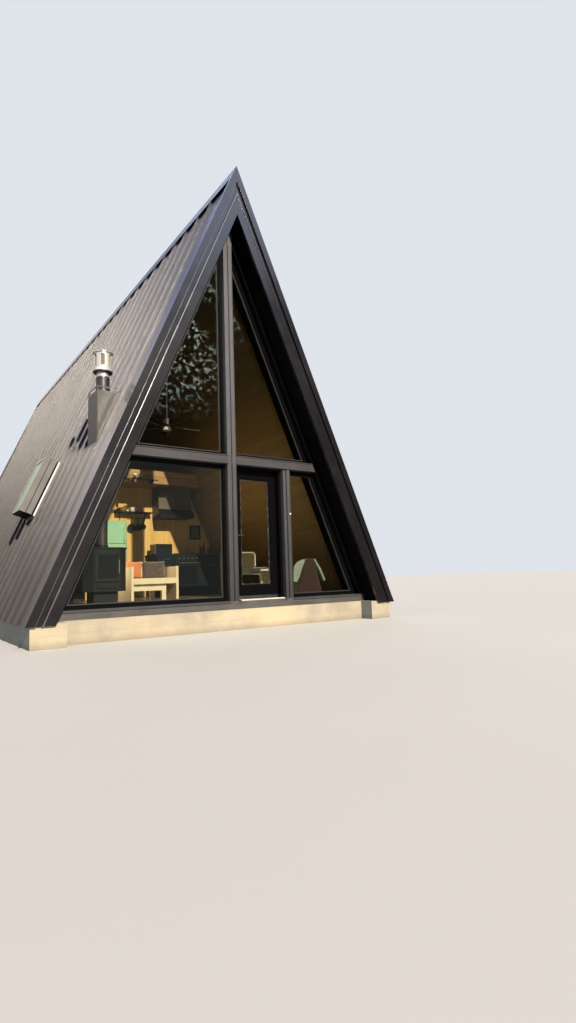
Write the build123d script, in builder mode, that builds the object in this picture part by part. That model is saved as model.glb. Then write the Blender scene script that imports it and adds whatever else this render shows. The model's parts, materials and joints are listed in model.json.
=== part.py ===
from build123d import *
from math import atan2, cos, floor, pi, radians, sin, tan
import os

os.makedirs("parts", exist_ok=True)

# Frame: X to the right along the glazed gable, Y towards the back, Z up from the ground.
# The origin is on the ground under the middle of the ridge. All sizes are in millimetres.

# Roof form
half_span = 2953.0
ridge_rise = 6909.0
roof_length = 13775.0
front_overhang = 348.0
back_overhang = 348.0
foundation_height = 300.0
roof_depth = 295.0
lining_thickness = 20.0
eave_drop = 30.0

# Standing seam cladding
sheet_thickness = 4.0
seam_height = 32.0
seam_width = 14.0
seam_pitch = 475.0
ridge_vent_half = 10.0
ridge_cap_width = 230.0

# Rake trim and the stepped rake boards under it
trim_face = 101.0
trim_rib = 62.0
trim_hem = 6.0
upper_board_inset = 180.0
rake_board_edge = 315.0
trim_stand = 30.0
lower_board_stand = 15.0
rake_board_thickness = 28.0

# Foundation
foundation_setback = 8.0
wing_width = 420.0
plinth_ledge = 30.0

# Glazed gable
wall_depth = 200.0
sill_height = 120.0
centre_post_width = 143.0
post_step = 18.0
post_step_width = 74.0
door_post_width = 125.0
transom_height = 135.0
transom_stand = 20.0
transom_lip = 12.0
slant_board_thickness = 65.0
slant_board_depth = 410.0
window_frame_width = 45.0
window_setback = 100.0
window_frame_depth = 70.0
glass_thickness = 24.0
glass_setback = 30.0

# Door
door_gap = 8.0
jamb_width = 25.0
door_head = 29.0
leaf_width = 813.0
leaf_height = 2020.0
leaf_thickness = 45.0
leaf_setback = 200.0
door_frame_setback = 100.0
door_stop = 16.0
threshold_height = 15.0
stile_width = 128.0
top_rail = 133.0
bottom_rail = 200.0
door_glass_thickness = 20.0
handle_height = 1000.0
handle_backset = 60.0
rose_radius = 26.0
rose_thickness = 8.0
spindle_radius = 6.0
neck_radius = 9.0
neck_length = 42.0
lever_length = 120.0
lever_height = 18.0
lever_thickness = 12.0

# Door hinges
hinge_height = 100.0
hinge_knuckle = 33.0
barrel_radius = 8.0
hinge_pin_radius = 4.0
pin_clearance = 0.3
knuckle_gap = 0.5
hinge_plate = 2.5
hinge_plate_reach = 30.0
hinge_plate_start = 9.5
hinge_margin = 180.0

# Back gable
back_wall_thickness = 180.0
back_window_width = 1200.0
back_lower_sill = 900.0
back_lower_height = 1200.0
back_upper_width = 800.0
back_upper_sill = 3100.0
back_upper_height = 900.0

# Inside
floor_clearance = 2.0
stove_width = 620.0
stove_depth = 480.0
stove_bottom = 210.0
stove_height = 630.0
stove_foot_width = 340.0
stove_top_thickness = 20.0
stove_top_overhang = 15.0
stove_corner = 120.0

# Loft over the rear half, and the cross wall under it
loft_from_gable = 4120.0
loft_top = 2830.0
loft_depth = 290.0
partition_from_gable = 4790.0
partition_thickness = 100.0
inner_door_from_slope = 110.0
inner_door_width = 760.0
inner_door_height = 2000.0

# Kitchen along the cross wall
counter_from_slope = 154.0
counter_width = 1540.0
counter_depth = 620.0
counter_height = 900.0
counter_top = 32.0
counter_overhang = 20.0
toe_height = 100.0
toe_recess = 60.0
cabinet_from_slope = 95.0
cabinet_width = 790.0
cabinet_depth = 360.0
cabinet_height = 500.0
hood_depth = 500.0
hood_height = 190.0
hood_lip = 60.0
fridge_left = -790.0
fridge_width = 620.0
fridge_depth = 640.0
fridge_height = 1600.0
fridge_corner = 60.0
fridge_split = 1130.0
fridge_groove = 10.0
fridge_handle = 260.0
fridge_handle_width = 24.0
fridge_handle_stand = 36.0
fridge_gap = 20.0

# Sofa
sofa_from_gable = 1240.0
sofa_left = -1140.0
sofa_length = 794.0
sofa_depth = 620.0
sofa_arm_height = 570.0
sofa_arm_thickness = 40.0
sofa_leg = 73.0
sofa_seat_height = 386.0
sofa_seat_thickness = 92.0
sofa_box_bottom = 187.0
sofa_box_length = 567.0
sofa_box_setback = 70.0
sofa_back_thickness = 130.0
sofa_back_height = 660.0
cushion_widths = (282.0, 402.0)
cushion_height = 285.0
cushion_thickness = 130.0
cushion_round = 50.0
cushion_gap = 10.0

# Low table and the two chairs
table_from_gable = 1190.0
table_left = 720.0
table_width = 780.0
table_depth = 400.0
table_height = 490.0
table_shelf_height = 220.0
table_board = 32.0
table_leg = 36.0
armchair_from_gable = 1720.0
armchair_left = 1030.0
armchair_width = 730.0
armchair_depth = 660.0
armchair_leg_height = 90.0
armchair_leg = 45.0
armchair_seat_height = 400.0
armchair_arm_height = 540.0
armchair_arm_thickness = 110.0
armchair_back_height = 860.0
armchair_back_thickness = 190.0
armchair_round = 35.0
tub_chair_from_gable = 400.0
tub_chair_middle = 1720.0
tub_chair_width = 560.0
tub_chair_top_width = 200.0
tub_chair_depth = 540.0
tub_chair_height = 634.0
tub_chair_back_thickness = 90.0
tub_chair_seat_height = 370.0
tub_chair_round = 25.0

# Chimney, from the glazed gable's face and in from the foot of the left slope
chase_from_eave = 1099.0
chase_height = 780.0
chase_length = 445.0
chase_wall = 6.0
flange_width = 70.0
flange_thickness = 3.0
flue_from_gable = 890.0
flue_from_chase = 149.0
flue_above_chase = 260.0
flue_radius = 98.0
stove_pipe_radius = 76.0
fit_clearance = 0.3
collar_height = 80.0
collar_radius = 88.0
cap_height = 330.0
cap_radius = 143.0
cap_rim = 14.0
cap_skirt = 62.0
cap_body_radius = 128.0
cap_core_radius = 100.0
cap_lid_height = 34.0
cap_lid_rim = 10.0
cap_slots = 6
cap_slot_width = 58.0
cap_slot_height = 185.0
cap_slot_turn = 13.0

# Roof window: a box on the left slope with a pane over it
window_from_gable = 2883.0
window_along = 4700.0
roof_window_width = 686.0
roof_window_length = 1036.0
roof_window_rim = 45.0
roof_window_stand = 232.0
window_flange = 45.0
sash_thickness = 38.0
sash_rim = 60.0
sash_lap = 8.0
sash_skirt = 60.0
sash_skirt_thickness = 5.0

# Ceiling fan
fan_from_gable = 2450.0
fan_height = 3390.0
fan_motor_radius = 95.0
fan_motor_height = 110.0
fan_rod_radius = 13.0
fan_canopy_radius = 70.0
fan_canopy_height = 90.0
fan_blade_reach = 660.0
fan_blade_width = 125.0
fan_blade_thickness = 8.0
fan_blade_pitch = 12.0
fan_blades = 5
fan_gap = 6.0
fan_shaft_radius = 12.0
hub_height = 30.0
fan_bowl_radius = 80.0
fan_bowl_height = 60.0

# Worked-out places
slope = atan2(ridge_rise, half_span)
apex_z = foundation_height + ridge_rise
front_rake_y = -roof_length / 2
back_rake_y = roof_length / 2
gable_y = front_rake_y + front_overhang
back_face_y = back_rake_y - back_overhang
pan_inset = seam_height
deck_inset = pan_inset + sheet_thickness
soffit_inset = roof_depth + lining_thickness
window_inset = soffit_inset + slant_board_thickness
rake_depth = trim_stand + rake_board_thickness
deck_front_y = front_rake_y + rake_depth
deck_back_y = back_rake_y - rake_depth
floor_z = foundation_height + sill_height
half_post = centre_post_width / 2
door_bay = leaf_width + 2 * (door_gap + jamb_width)
door_post_left = half_post + door_bay
door_post_right = door_post_left + door_post_width
transom_z = floor_z + threshold_height + 2 * door_gap + leaf_height + door_head
transom_top_z = transom_z + transom_height
chase_outer_x = chase_from_eave - half_span
flue_x = chase_outer_x + flue_from_chase
rake_run = 2 * (ridge_rise + half_span)
sides = ((-1, "left"), (1, "right"))


def slope_x(z, inset):
    """Distance from the ridge plane, at height z, of the line that lies inset below the seam tops."""
    return (apex_z - z) / tan(slope) - inset / sin(slope)


def slope_z(x, inset):
    """Height of that line at the distance x from the ridge plane."""
    return apex_z - x * tan(slope) - inset / cos(slope)


def band(side, outer, inner, foot_z):
    """Corners of a layer of one roof slope, from the ridge plane down to foot_z."""
    return [
        (0, slope_z(0, outer)),
        (0, slope_z(0, inner)),
        (side * slope_x(foot_z, inner), foot_z),
        (side * slope_x(foot_z, outer), foot_z),
    ]


def gable_plane(y):
    """Upright plane across the building, its sketch in X and Z, facing the front."""
    return Plane(origin=(0, y, 0), x_dir=(1, 0, 0), z_dir=(0, -1, 0))


def downhill(side):
    return Vector(side * cos(slope), 0, -sin(slope))


def outward(side):
    return Vector(side * sin(slope), 0, cos(slope))


def across_slope(side, along):
    """Plane across one slope, its sketch in Y and outward, at a distance down from the ridge."""
    foot = Vector(0, 0, apex_z) + downhill(side) * along
    return Plane(origin=foot, x_dir=(0, 1, 0), z_dir=downhill(side) * side)


def on_left_slope(inset):
    """Plane on the left slope, its sketch in Y and downhill."""
    origin = Vector(0, 0, apex_z) - outward(-1) * inset
    return Plane(origin=origin, x_dir=(0, 1, 0), z_dir=outward(-1))


def save(piece, name):
    piece.part.label = name
    export_step(piece.part, "parts/" + name + ".step")


# Foundation: one slab with a wing under each end of the roof slopes
foundation_half = slope_x(foundation_height, deck_inset) - foundation_setback
foundation_front = deck_front_y
foundation_back = deck_back_y
with BuildPart() as foundation:
    with BuildSketch(Plane.XY):
        with Locations((0, (foundation_front + foundation_back) / 2)):
            Rectangle(2 * foundation_half, foundation_back - foundation_front)
        recess = 2 * (foundation_half - wing_width)
        with Locations((0, foundation_front)):
            Rectangle(recess, gable_y - plinth_ledge - foundation_front,
                      align=(Align.CENTER, Align.MIN), mode=Mode.SUBTRACT)
        with Locations((0, foundation_back)):
            Rectangle(recess, foundation_back - back_face_y - plinth_ledge,
                      align=(Align.CENTER, Align.MAX), mode=Mode.SUBTRACT)
    extrude(amount=foundation_height)
save(foundation, "foundation")

# Floor deck between the gables
floor_front = gable_y + wall_depth
floor_back = back_face_y - back_wall_thickness
with BuildPart() as floor_deck:
    with BuildSketch(gable_plane(floor_front)):
        low = slope_x(foundation_height, soffit_inset) - floor_clearance
        high = slope_x(floor_z, soffit_inset) - floor_clearance
        with BuildLine():
            Polyline((-low, foundation_height), (low, foundation_height), (high, floor_z),
                     (-high, floor_z), close=True)
        make_face()
    extrude(amount=-(floor_back - floor_front))
save(floor_deck, "floor")

# Roof slopes, lining, soffits, cladding
window_front_y = gable_y + window_from_gable
window_middle = (window_front_y + roof_window_width / 2, window_along + roof_window_length / 2)
flue_y = gable_y + flue_from_gable
chase_foot_z = slope_z(-chase_outer_x, pan_inset)
chase_top_z = chase_foot_z + chase_height
chase_front_y = flue_y - chase_length / 2


def along_at(x, inset):
    """Distance down the slope of the point at x from the ridge plane on an inset line."""
    return (x + inset * sin(slope)) / cos(slope)


def window_cutter(inset, depth, grow):
    """Block that cuts the roof window's opening through a layer of the left slope."""
    with BuildPart(mode=Mode.PRIVATE) as cutter:
        with BuildSketch(on_left_slope(inset)):
            with Locations(window_middle):
                Rectangle(roof_window_width + 2 * grow, roof_window_length + 2 * grow)
        extrude(amount=depth)
    return cutter.part


def flue_cutter():
    """Upright cylinder that cuts the flue's hole."""
    with BuildPart(mode=Mode.PRIVATE) as cutter:
        with BuildSketch(Plane.XY.offset(foundation_height)):
            with Locations((flue_x, flue_y)):
                Circle(flue_radius + fit_clearance)
        extrude(amount=ridge_rise)
    return cutter.part


for side, side_name in sides:
    with BuildPart() as roof_slab:
        with BuildSketch(gable_plane(deck_front_y)):
            with BuildLine():
                Polyline(*band(side, deck_inset, roof_depth, foundation_height), close=True)
            make_face()
        extrude(amount=-(deck_back_y - deck_front_y))
        if side < 0:
            add(window_cutter(soffit_inset, soffit_inset + seam_height, 0), mode=Mode.SUBTRACT)
            add(flue_cutter(), mode=Mode.SUBTRACT)
    save(roof_slab, "roof_" + side_name)

    with BuildPart() as lining:
        with BuildSketch(gable_plane(gable_y)):
            with BuildLine():
                Polyline(*band(side, roof_depth, soffit_inset, foundation_height), close=True)
            make_face()
        extrude(amount=-(floor_back - gable_y))
        if side < 0:
            add(window_cutter(soffit_inset + lining_thickness, roof_depth, 0), mode=Mode.SUBTRACT)
            add(flue_cutter(), mode=Mode.SUBTRACT)
    save(lining, "lining_" + side_name)

    with BuildPart() as soffit:
        for start, end in ((deck_front_y, gable_y), (floor_back, deck_back_y)):
            with BuildSketch(gable_plane(start)):
                with BuildLine():
                    Polyline(*band(side, roof_depth, soffit_inset, foundation_height), close=True)
                make_face()
            extrude(amount=-(end - start))
    save(soffit, "soffit_" + side_name)

# Cladding: a flat sheet with upright seams, open to a gap at the ridge
cladding_front = front_rake_y + trim_hem + sheet_thickness
cladding_back = back_rake_y - trim_hem - sheet_thickness
cladding_head = along_at(ridge_vent_half, deck_inset)
cladding_foot = along_at(slope_x(foundation_height - eave_drop, pan_inset), pan_inset)
seam_count = int(floor((roof_length - 2 * trim_rib - seam_pitch) / seam_pitch))
chase_low_along = along_at(-chase_outer_x, pan_inset)
chase_high_along = along_at(slope_x(chase_top_z, pan_inset), pan_inset)
chase_middle = (flue_y, (chase_low_along + chase_high_along) / 2)
chase_span = chase_low_along - chase_high_along
for side, side_name in sides:
    with BuildPart() as cladding:
        with BuildSketch(across_slope(side, cladding_head)):
            with Locations((0, -pan_inset)):
                Rectangle(cladding_back - cladding_front, sheet_thickness,
                          align=(Align.CENTER, Align.MAX))
                with GridLocations(seam_pitch, 0, seam_count, 1):
                    Rectangle(seam_width, seam_height, align=(Align.CENTER, Align.MIN))
        extrude(amount=side * (cladding_foot - cladding_head))
        if side < 0:
            add(window_cutter(soffit_inset, soffit_inset + 2 * seam_height, 0), mode=Mode.SUBTRACT)
            add(window_cutter(pan_inset, 2 * seam_height, window_flange), mode=Mode.SUBTRACT)
            with BuildSketch(on_left_slope(pan_inset)):
                with Locations(chase_middle):
                    Rectangle(chase_length + 2 * flange_width, chase_span + 2 * flange_width)
            extrude(amount=2 * seam_height, mode=Mode.SUBTRACT)
            with BuildSketch(on_left_slope(deck_inset + sheet_thickness)):
                with Locations(chase_middle):
                    Rectangle(chase_length - 2 * chase_wall, chase_span - 2 * chase_wall)
            extrude(amount=2 * deck_inset, mode=Mode.SUBTRACT)
    save(cladding, "cladding_" + side_name)

# Ridge cap: a folded sheet that rests on the seams, open between them
with BuildPart() as ridge_cap:
    with BuildSketch(gable_plane(front_rake_y + trim_hem + trim_rib)):
        wing_x = ridge_cap_width * cos(slope)
        wing_drop = ridge_cap_width * sin(slope)
        top = slope_z(0, -sheet_thickness)
        with BuildLine():
            Polyline((0, top), (wing_x, top - wing_drop), (wing_x, slope_z(wing_x, 0)), (0, apex_z),
                     (-wing_x, slope_z(wing_x, 0)), (-wing_x, top - wing_drop), close=True)
        make_face()
    extrude(amount=-(roof_length - 2 * trim_hem - 2 * trim_rib))
save(ridge_cap, "ridge_cap")


# Rake trim: a folded metal edge with a raised rib, mitred at the ridge
trim_foot_z = foundation_height - eave_drop


def half_space(side):
    """Keep only the part's own side of the ridge plane, and cut its foot level."""
    split(bisect_by=Plane(origin=(0, 0, 0), z_dir=(side, 0, 0)), keep=Keep.TOP)
    split(bisect_by=Plane(origin=(0, 0, trim_foot_z), z_dir=(0, 0, 1)), keep=Keep.TOP)


def rake_profile(facing):
    """Section of the rake trim in Y and outward. facing is -1 at the front and 1 at the back."""
    edge = facing * roof_length / 2
    face = edge - facing * trim_hem
    inner = face - facing * sheet_thickness
    rib = face - facing * trim_rib
    return [
        (edge, -trim_face), (edge, -trim_face + trim_hem), (face, -trim_face + 2 * trim_hem),
        (face, sheet_thickness), (rib, sheet_thickness), (rib, -pan_inset),
        (rib + facing * sheet_thickness, -pan_inset), (rib + facing * sheet_thickness, 0), (inner, 0),
        (inner, -trim_face),
    ]


for side, side_name in sides:
    with BuildPart() as rake_trim:
        with BuildSketch(across_slope(side, -half_span)):
            with BuildLine():
                Polyline(*rake_profile(-1), close=True)
            make_face()
        extrude(amount=side * rake_run)
        half_space(side)
    save(rake_trim, "rake_trim_front_" + side_name)

with BuildPart() as rake_trim_back:
    for side, side_name in sides:
        with BuildPart(mode=Mode.PRIVATE) as one_side:
            with BuildSketch(across_slope(side, -half_span)):
                with BuildLine():
                    Polyline(*rake_profile(1), close=True)
                make_face()
            extrude(amount=side * rake_run)
            half_space(side)
        add(one_side.part)
save(rake_trim_back, "rake_trim_back")


# Rake boards: two stepped boards, the lower one proud, under the metal edge
def board_profile(facing):
    """Section of the stepped rake board in Y and outward."""
    upper_face = facing * (roof_length / 2 - trim_stand)
    lower_face = upper_face + facing * lower_board_stand
    back = upper_face - facing * rake_board_thickness
    return [
        (upper_face, -deck_inset), (upper_face, -upper_board_inset), (lower_face, -upper_board_inset),
        (lower_face, -rake_board_edge), (back, -rake_board_edge), (back, -deck_inset),
    ]


for side, side_name in sides:
    with BuildPart() as rake_board:
        with BuildSketch(across_slope(side, -half_span)):
            with BuildLine():
                Polyline(*board_profile(-1), close=True)
            make_face()
        extrude(amount=side * rake_run)
        half_space(side)
    save(rake_board, "rake_board_front_" + side_name)

with BuildPart() as rake_board_back:
    for side, side_name in sides:
        with BuildPart(mode=Mode.PRIVATE) as one_side:
            with BuildSketch(across_slope(side, -half_span)):
                with BuildLine():
                    Polyline(*board_profile(1), close=True)
                make_face()
            extrude(amount=side * rake_run)
            half_space(side)
        add(one_side.part)
save(rake_board_back, "rake_board_back")

# Front sill beam, cut to the slopes
with BuildPart() as front_sill:
    with BuildSketch(gable_plane(gable_y)):
        low = slope_x(foundation_height, soffit_inset)
        high = slope_x(floor_z, soffit_inset)
        with BuildLine():
            Polyline((-low, foundation_height), (low, foundation_height), (high, floor_z),
                     (-high, floor_z), close=True)
        make_face()
    extrude(amount=-wall_depth)
save(front_sill, "front_sill")

# Centre post, with a raised strip on its face, from the sill to the soffits
with BuildPart() as centre_post:
    with BuildSketch(gable_plane(gable_y)):
        with BuildLine():
            Polyline((-half_post, floor_z), (half_post, floor_z),
                     (half_post, slope_z(half_post, soffit_inset)), (0, slope_z(0, soffit_inset)),
                     (-half_post, slope_z(half_post, soffit_inset)), close=True)
        make_face()
    extrude(amount=-wall_depth)
    with BuildSketch(gable_plane(gable_y)):
        with Locations((-half_post, floor_z)):
            Rectangle(centre_post_width - post_step_width, ridge_rise, align=Align.MIN)
    extrude(amount=-post_step, mode=Mode.SUBTRACT)
save(centre_post, "centre_post")

# Door post, from the sill to the transom
with BuildPart() as door_post:
    with BuildSketch(Plane.XY.offset(floor_z)):
        with Locations((door_post_left, gable_y + post_step)):
            Rectangle(door_post_width, wall_depth - post_step, align=Align.MIN)
        with Locations((door_post_left + door_post_width, gable_y)):
            Rectangle(post_step_width, post_step, align=(Align.MAX, Align.MIN))
    extrude(amount=transom_z - floor_z)
save(door_post, "door_post")

# Transom: one bar on each side of the centre post, with a drip lip along its foot and its head
with BuildPart() as transom:
    for side, side_name in sides:
        with BuildSketch(gable_plane(gable_y - transom_stand + transom_lip)):
            with BuildLine():
                Polyline((side * half_post, transom_z),
                         (side * slope_x(transom_z, window_inset), transom_z),
                         (side * slope_x(transom_top_z, window_inset), transom_top_z),
                         (side * half_post, transom_top_z), close=True)
            make_face()
        extrude(amount=-(wall_depth + transom_stand - transom_lip))
        for foot_z in (transom_z, transom_top_z - transom_lip):
            head_z = foot_z + transom_lip
            with BuildSketch(gable_plane(gable_y - transom_stand)):
                with BuildLine():
                    Polyline((side * half_post, foot_z), (side * slope_x(foot_z, window_inset), foot_z),
                             (side * slope_x(head_z, window_inset), head_z), (side * half_post, head_z),
                             close=True)
                make_face()
            extrude(amount=-transom_lip)
save(transom, "transom")

# Boards under the slopes that line the window openings on both sides
for side, side_name in sides:
    with BuildPart() as slant_board:
        with BuildSketch(gable_plane(gable_y)):
            with BuildLine():
                Polyline(*band(side, soffit_inset, window_inset, floor_z), close=True)
            make_face()
        extrude(amount=-slant_board_depth)
        with BuildSketch(gable_plane(gable_y)):
            with Locations((0, floor_z)):
                Rectangle(centre_post_width, ridge_rise, align=(Align.CENTER, Align.MIN))
        extrude(amount=-wall_depth, mode=Mode.SUBTRACT)
    save(slant_board, "slant_board_" + side_name)


# Windows of the glazed gable
def upper_window(side):
    return [(side * half_post, transom_top_z), (side * slope_x(transom_top_z, window_inset), transom_top_z),
            (side * half_post, slope_z(half_post, window_inset))]


def lower_window(side, inner_x):
    return [(side * inner_x, floor_z), (side * slope_x(floor_z, window_inset), floor_z),
            (side * slope_x(transom_z, window_inset), transom_z), (side * inner_x, transom_z)]


windows = (
    ("upper_left", upper_window(-1)),
    ("upper_right", upper_window(1)),
    ("lower_left", lower_window(-1, half_post)),
    ("lower_right", lower_window(1, door_post_right)),
)
for window_name, outline in windows:
    with BuildPart() as window_frame:
        with BuildSketch(gable_plane(gable_y + window_setback)):
            with BuildLine():
                Polyline(*outline, close=True)
            make_face()
            offset(amount=-window_frame_width, kind=Kind.INTERSECTION, mode=Mode.SUBTRACT)
        extrude(amount=-window_frame_depth)
    save(window_frame, "window_frame_" + window_name)
    with BuildPart() as window_glass:
        with BuildSketch(gable_plane(gable_y + window_setback + glass_setback)):
            with BuildLine():
                Polyline(*outline, close=True)
            make_face()
            offset(amount=-window_frame_width, kind=Kind.INTERSECTION, mode=Mode.REPLACE)
        extrude(amount=-glass_thickness)
    save(window_glass, "window_glass_" + window_name)

# Door frame: two jambs and a head, with a stop in front of the leaf
leaf_left = half_post + jamb_width + door_gap
leaf_right = leaf_left + leaf_width
leaf_bottom = floor_z + threshold_height + door_gap
leaf_top = leaf_bottom + leaf_height
leaf_front_y = gable_y + leaf_setback
leaf_back_y = leaf_front_y + leaf_thickness
door_head_z = leaf_top + door_gap
with BuildPart() as door_frame:
    stop_back_y = leaf_front_y - door_gap
    frame_front_y = gable_y + door_frame_setback
    for start, end, edge in ((frame_front_y, stop_back_y, door_stop), (stop_back_y, leaf_back_y, 0)):
        with BuildSketch(gable_plane(start)):
            with Locations((half_post, floor_z)):
                Rectangle(door_bay, transom_z - floor_z, align=Align.MIN)
            with Locations((half_post + jamb_width + edge, floor_z)):
                Rectangle(door_bay - 2 * (jamb_width + edge), door_head_z - edge - floor_z,
                          align=Align.MIN, mode=Mode.SUBTRACT)
        extrude(amount=-(end - start))
save(door_frame, "door_frame")

# Threshold between the jambs
with BuildPart() as threshold:
    with BuildSketch(Plane.XY.offset(floor_z)):
        with Locations((half_post + jamb_width + door_stop, gable_y)):
            Rectangle(door_bay - 2 * (jamb_width + door_stop), wall_depth, align=Align.MIN)
    extrude(amount=threshold_height)
save(threshold, "threshold")

# Door leaf, with one tall light
light_bottom = leaf_bottom + bottom_rail
light_top = leaf_top - top_rail
handle_x = leaf_left + handle_backset
handle_z = floor_z + handle_height
with BuildPart() as door_leaf:
    with BuildSketch(gable_plane(leaf_front_y)):
        with Locations((leaf_left, leaf_bottom)):
            Rectangle(leaf_width, leaf_height, align=Align.MIN)
        with Locations((leaf_left + stile_width, light_bottom)):
            Rectangle(leaf_width - 2 * stile_width, light_top - light_bottom, align=Align.MIN,
                      mode=Mode.SUBTRACT)
        with Locations((handle_x, handle_z)):
            Circle(spindle_radius + pin_clearance, mode=Mode.SUBTRACT)
    extrude(amount=-leaf_thickness)
save(door_leaf, "door_leaf")

with BuildPart() as door_glass:
    with BuildSketch(gable_plane(leaf_front_y + (leaf_thickness - door_glass_thickness) / 2)):
        with Locations((leaf_left + stile_width, light_bottom)):
            Rectangle(leaf_width - 2 * stile_width, light_top - light_bottom, align=Align.MIN)
    extrude(amount=-door_glass_thickness)
save(door_glass, "door_glass")

# Door handle: a lever on each face, on one spindle
with BuildPart() as door_handle:
    with BuildSketch(gable_plane(leaf_front_y)):
        with Locations((handle_x, handle_z)):
            Circle(spindle_radius)
    extrude(amount=-leaf_thickness)
    for face_y, facing in ((leaf_front_y, 1), (leaf_back_y, -1)):
        with BuildSketch(gable_plane(face_y)):
            with Locations((handle_x, handle_z)):
                Circle(rose_radius)
        extrude(amount=facing * rose_thickness)
        with BuildSketch(gable_plane(face_y)):
            with Locations((handle_x, handle_z)):
                Circle(neck_radius)
        extrude(amount=facing * neck_length)
        with BuildSketch(gable_plane(face_y - facing * neck_length)):
            with Locations((handle_x - neck_radius, handle_z)):
                SlotOverall(lever_length, lever_height, align=(Align.MIN, Align.CENTER))
        extrude(amount=-facing * lever_thickness)
save(door_handle, "door_handle")

# Hinges: pin and end knuckles on the jamb, middle knuckle on the leaf
pin_x = leaf_right + door_gap / 2
pin_y = leaf_back_y + barrel_radius
hinge_bases = (
    leaf_bottom + hinge_margin,
    (leaf_bottom + leaf_top - hinge_height) / 2,
    leaf_top - hinge_margin - hinge_height,
)
with BuildPart() as door_hinges_fixed:
    for base in hinge_bases:
        for knuckle_z in (base, base + hinge_height - hinge_knuckle):
            with BuildSketch(Plane.XY.offset(knuckle_z)):
                with Locations((pin_x, pin_y)):
                    Circle(barrel_radius)
                with Locations((pin_x, leaf_back_y)):
                    Rectangle(hinge_plate_start, hinge_plate, align=Align.MIN)
            extrude(amount=hinge_knuckle)
        with BuildSketch(Plane.XY.offset(base)):
            with Locations((pin_x, pin_y)):
                Circle(hinge_pin_radius)
            with Locations((pin_x + hinge_plate_start, leaf_back_y)):
                Rectangle(door_post_left - pin_x - hinge_plate_start, hinge_plate, align=Align.MIN)
        extrude(amount=hinge_height)
save(door_hinges_fixed, "door_hinges_fixed")

with BuildPart() as door_hinges_moving:
    for base in hinge_bases:
        with BuildSketch(Plane.XY.offset(base + hinge_knuckle + knuckle_gap)):
            with Locations((pin_x, pin_y)):
                Circle(barrel_radius)
            with Locations((pin_x, leaf_back_y)):
                Rectangle(hinge_plate_start, hinge_plate, align=(Align.MAX, Align.MIN))
            with Locations((pin_x, pin_y)):
                Circle(hinge_pin_radius + pin_clearance, mode=Mode.SUBTRACT)
        extrude(amount=hinge_height - 2 * (hinge_knuckle + knuckle_gap))
        with BuildSketch(Plane.XY.offset(base)):
            with Locations((pin_x - hinge_plate_start, leaf_back_y)):
                Rectangle(hinge_plate_reach, hinge_plate, align=(Align.MAX, Align.MIN))
        extrude(amount=hinge_height)
save(door_hinges_moving, "door_hinges_moving")

# Back gable: a closed wall with a window on each level
back_lower_z = foundation_height + back_lower_sill
back_upper_z = foundation_height + back_upper_sill
back_windows = (
    (back_window_width, back_lower_z, back_lower_height),
    (back_upper_width, back_upper_z, back_upper_height),
)
with BuildPart() as back_wall:
    with BuildSketch(gable_plane(floor_back)):
        low = slope_x(foundation_height, soffit_inset)
        with BuildLine():
            Polyline((-low, foundation_height), (low, foundation_height), (0, slope_z(0, soffit_inset)),
                     close=True)
        make_face()
        for width, sill_z, height in back_windows:
            with Locations((0, sill_z)):
                Rectangle(width, height, align=(Align.CENTER, Align.MIN), mode=Mode.SUBTRACT)
    extrude(amount=-back_wall_thickness)
save(back_wall, "back_wall")

back_frame_y = floor_back + (back_wall_thickness - window_frame_depth) / 2
with BuildPart() as back_window_frames:
    with BuildSketch(gable_plane(back_frame_y)):
        for width, sill_z, height in back_windows:
            with Locations((0, sill_z)):
                Rectangle(width, height, align=(Align.CENTER, Align.MIN))
            with Locations((0, sill_z + window_frame_width)):
                Rectangle(width - 2 * window_frame_width, height - 2 * window_frame_width,
                          align=(Align.CENTER, Align.MIN), mode=Mode.SUBTRACT)
    extrude(amount=-window_frame_depth)
save(back_window_frames, "back_window_frames")

with BuildPart() as back_window_glass:
    with BuildSketch(gable_plane(back_frame_y + glass_setback)):
        for width, sill_z, height in back_windows:
            with Locations((0, sill_z + window_frame_width)):
                Rectangle(width - 2 * window_frame_width, height - 2 * window_frame_width,
                          align=(Align.CENTER, Align.MIN))
    extrude(amount=-glass_thickness)
save(back_window_glass, "back_window_glass")

# Chimney chase: a folded box with an upright outer face and a flat top, open to the roof
chase_inner_x = slope_x(chase_top_z, pan_inset)
with BuildPart() as chimney_chase:
    with BuildSketch(gable_plane(chase_front_y)):
        with BuildLine():
            Polyline((chase_outer_x, chase_foot_z), (chase_outer_x, chase_top_z),
                     (-chase_inner_x, chase_top_z), close=True)
        make_face()
    extrude(amount=-chase_length)
    with BuildSketch(on_left_slope(pan_inset)):
        with Locations(chase_middle):
            Rectangle(chase_length + 2 * flange_width, chase_span + 2 * flange_width)
    extrude(amount=flange_thickness)
    with BuildSketch(gable_plane(chase_front_y + chase_wall)):
        with Locations((chase_outer_x + chase_wall, chase_top_z - chase_wall)):
            Rectangle(2 * chase_span, 2 * chase_span, align=(Align.MIN, Align.MAX))
    extrude(amount=-(chase_length - 2 * chase_wall), mode=Mode.SUBTRACT)
    with BuildSketch(Plane.XY.offset(foundation_height)):
        with Locations((flue_x, flue_y)):
            Circle(flue_radius + fit_clearance)
    extrude(amount=ridge_rise, mode=Mode.SUBTRACT)
save(chimney_chase, "chimney_chase")

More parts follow.
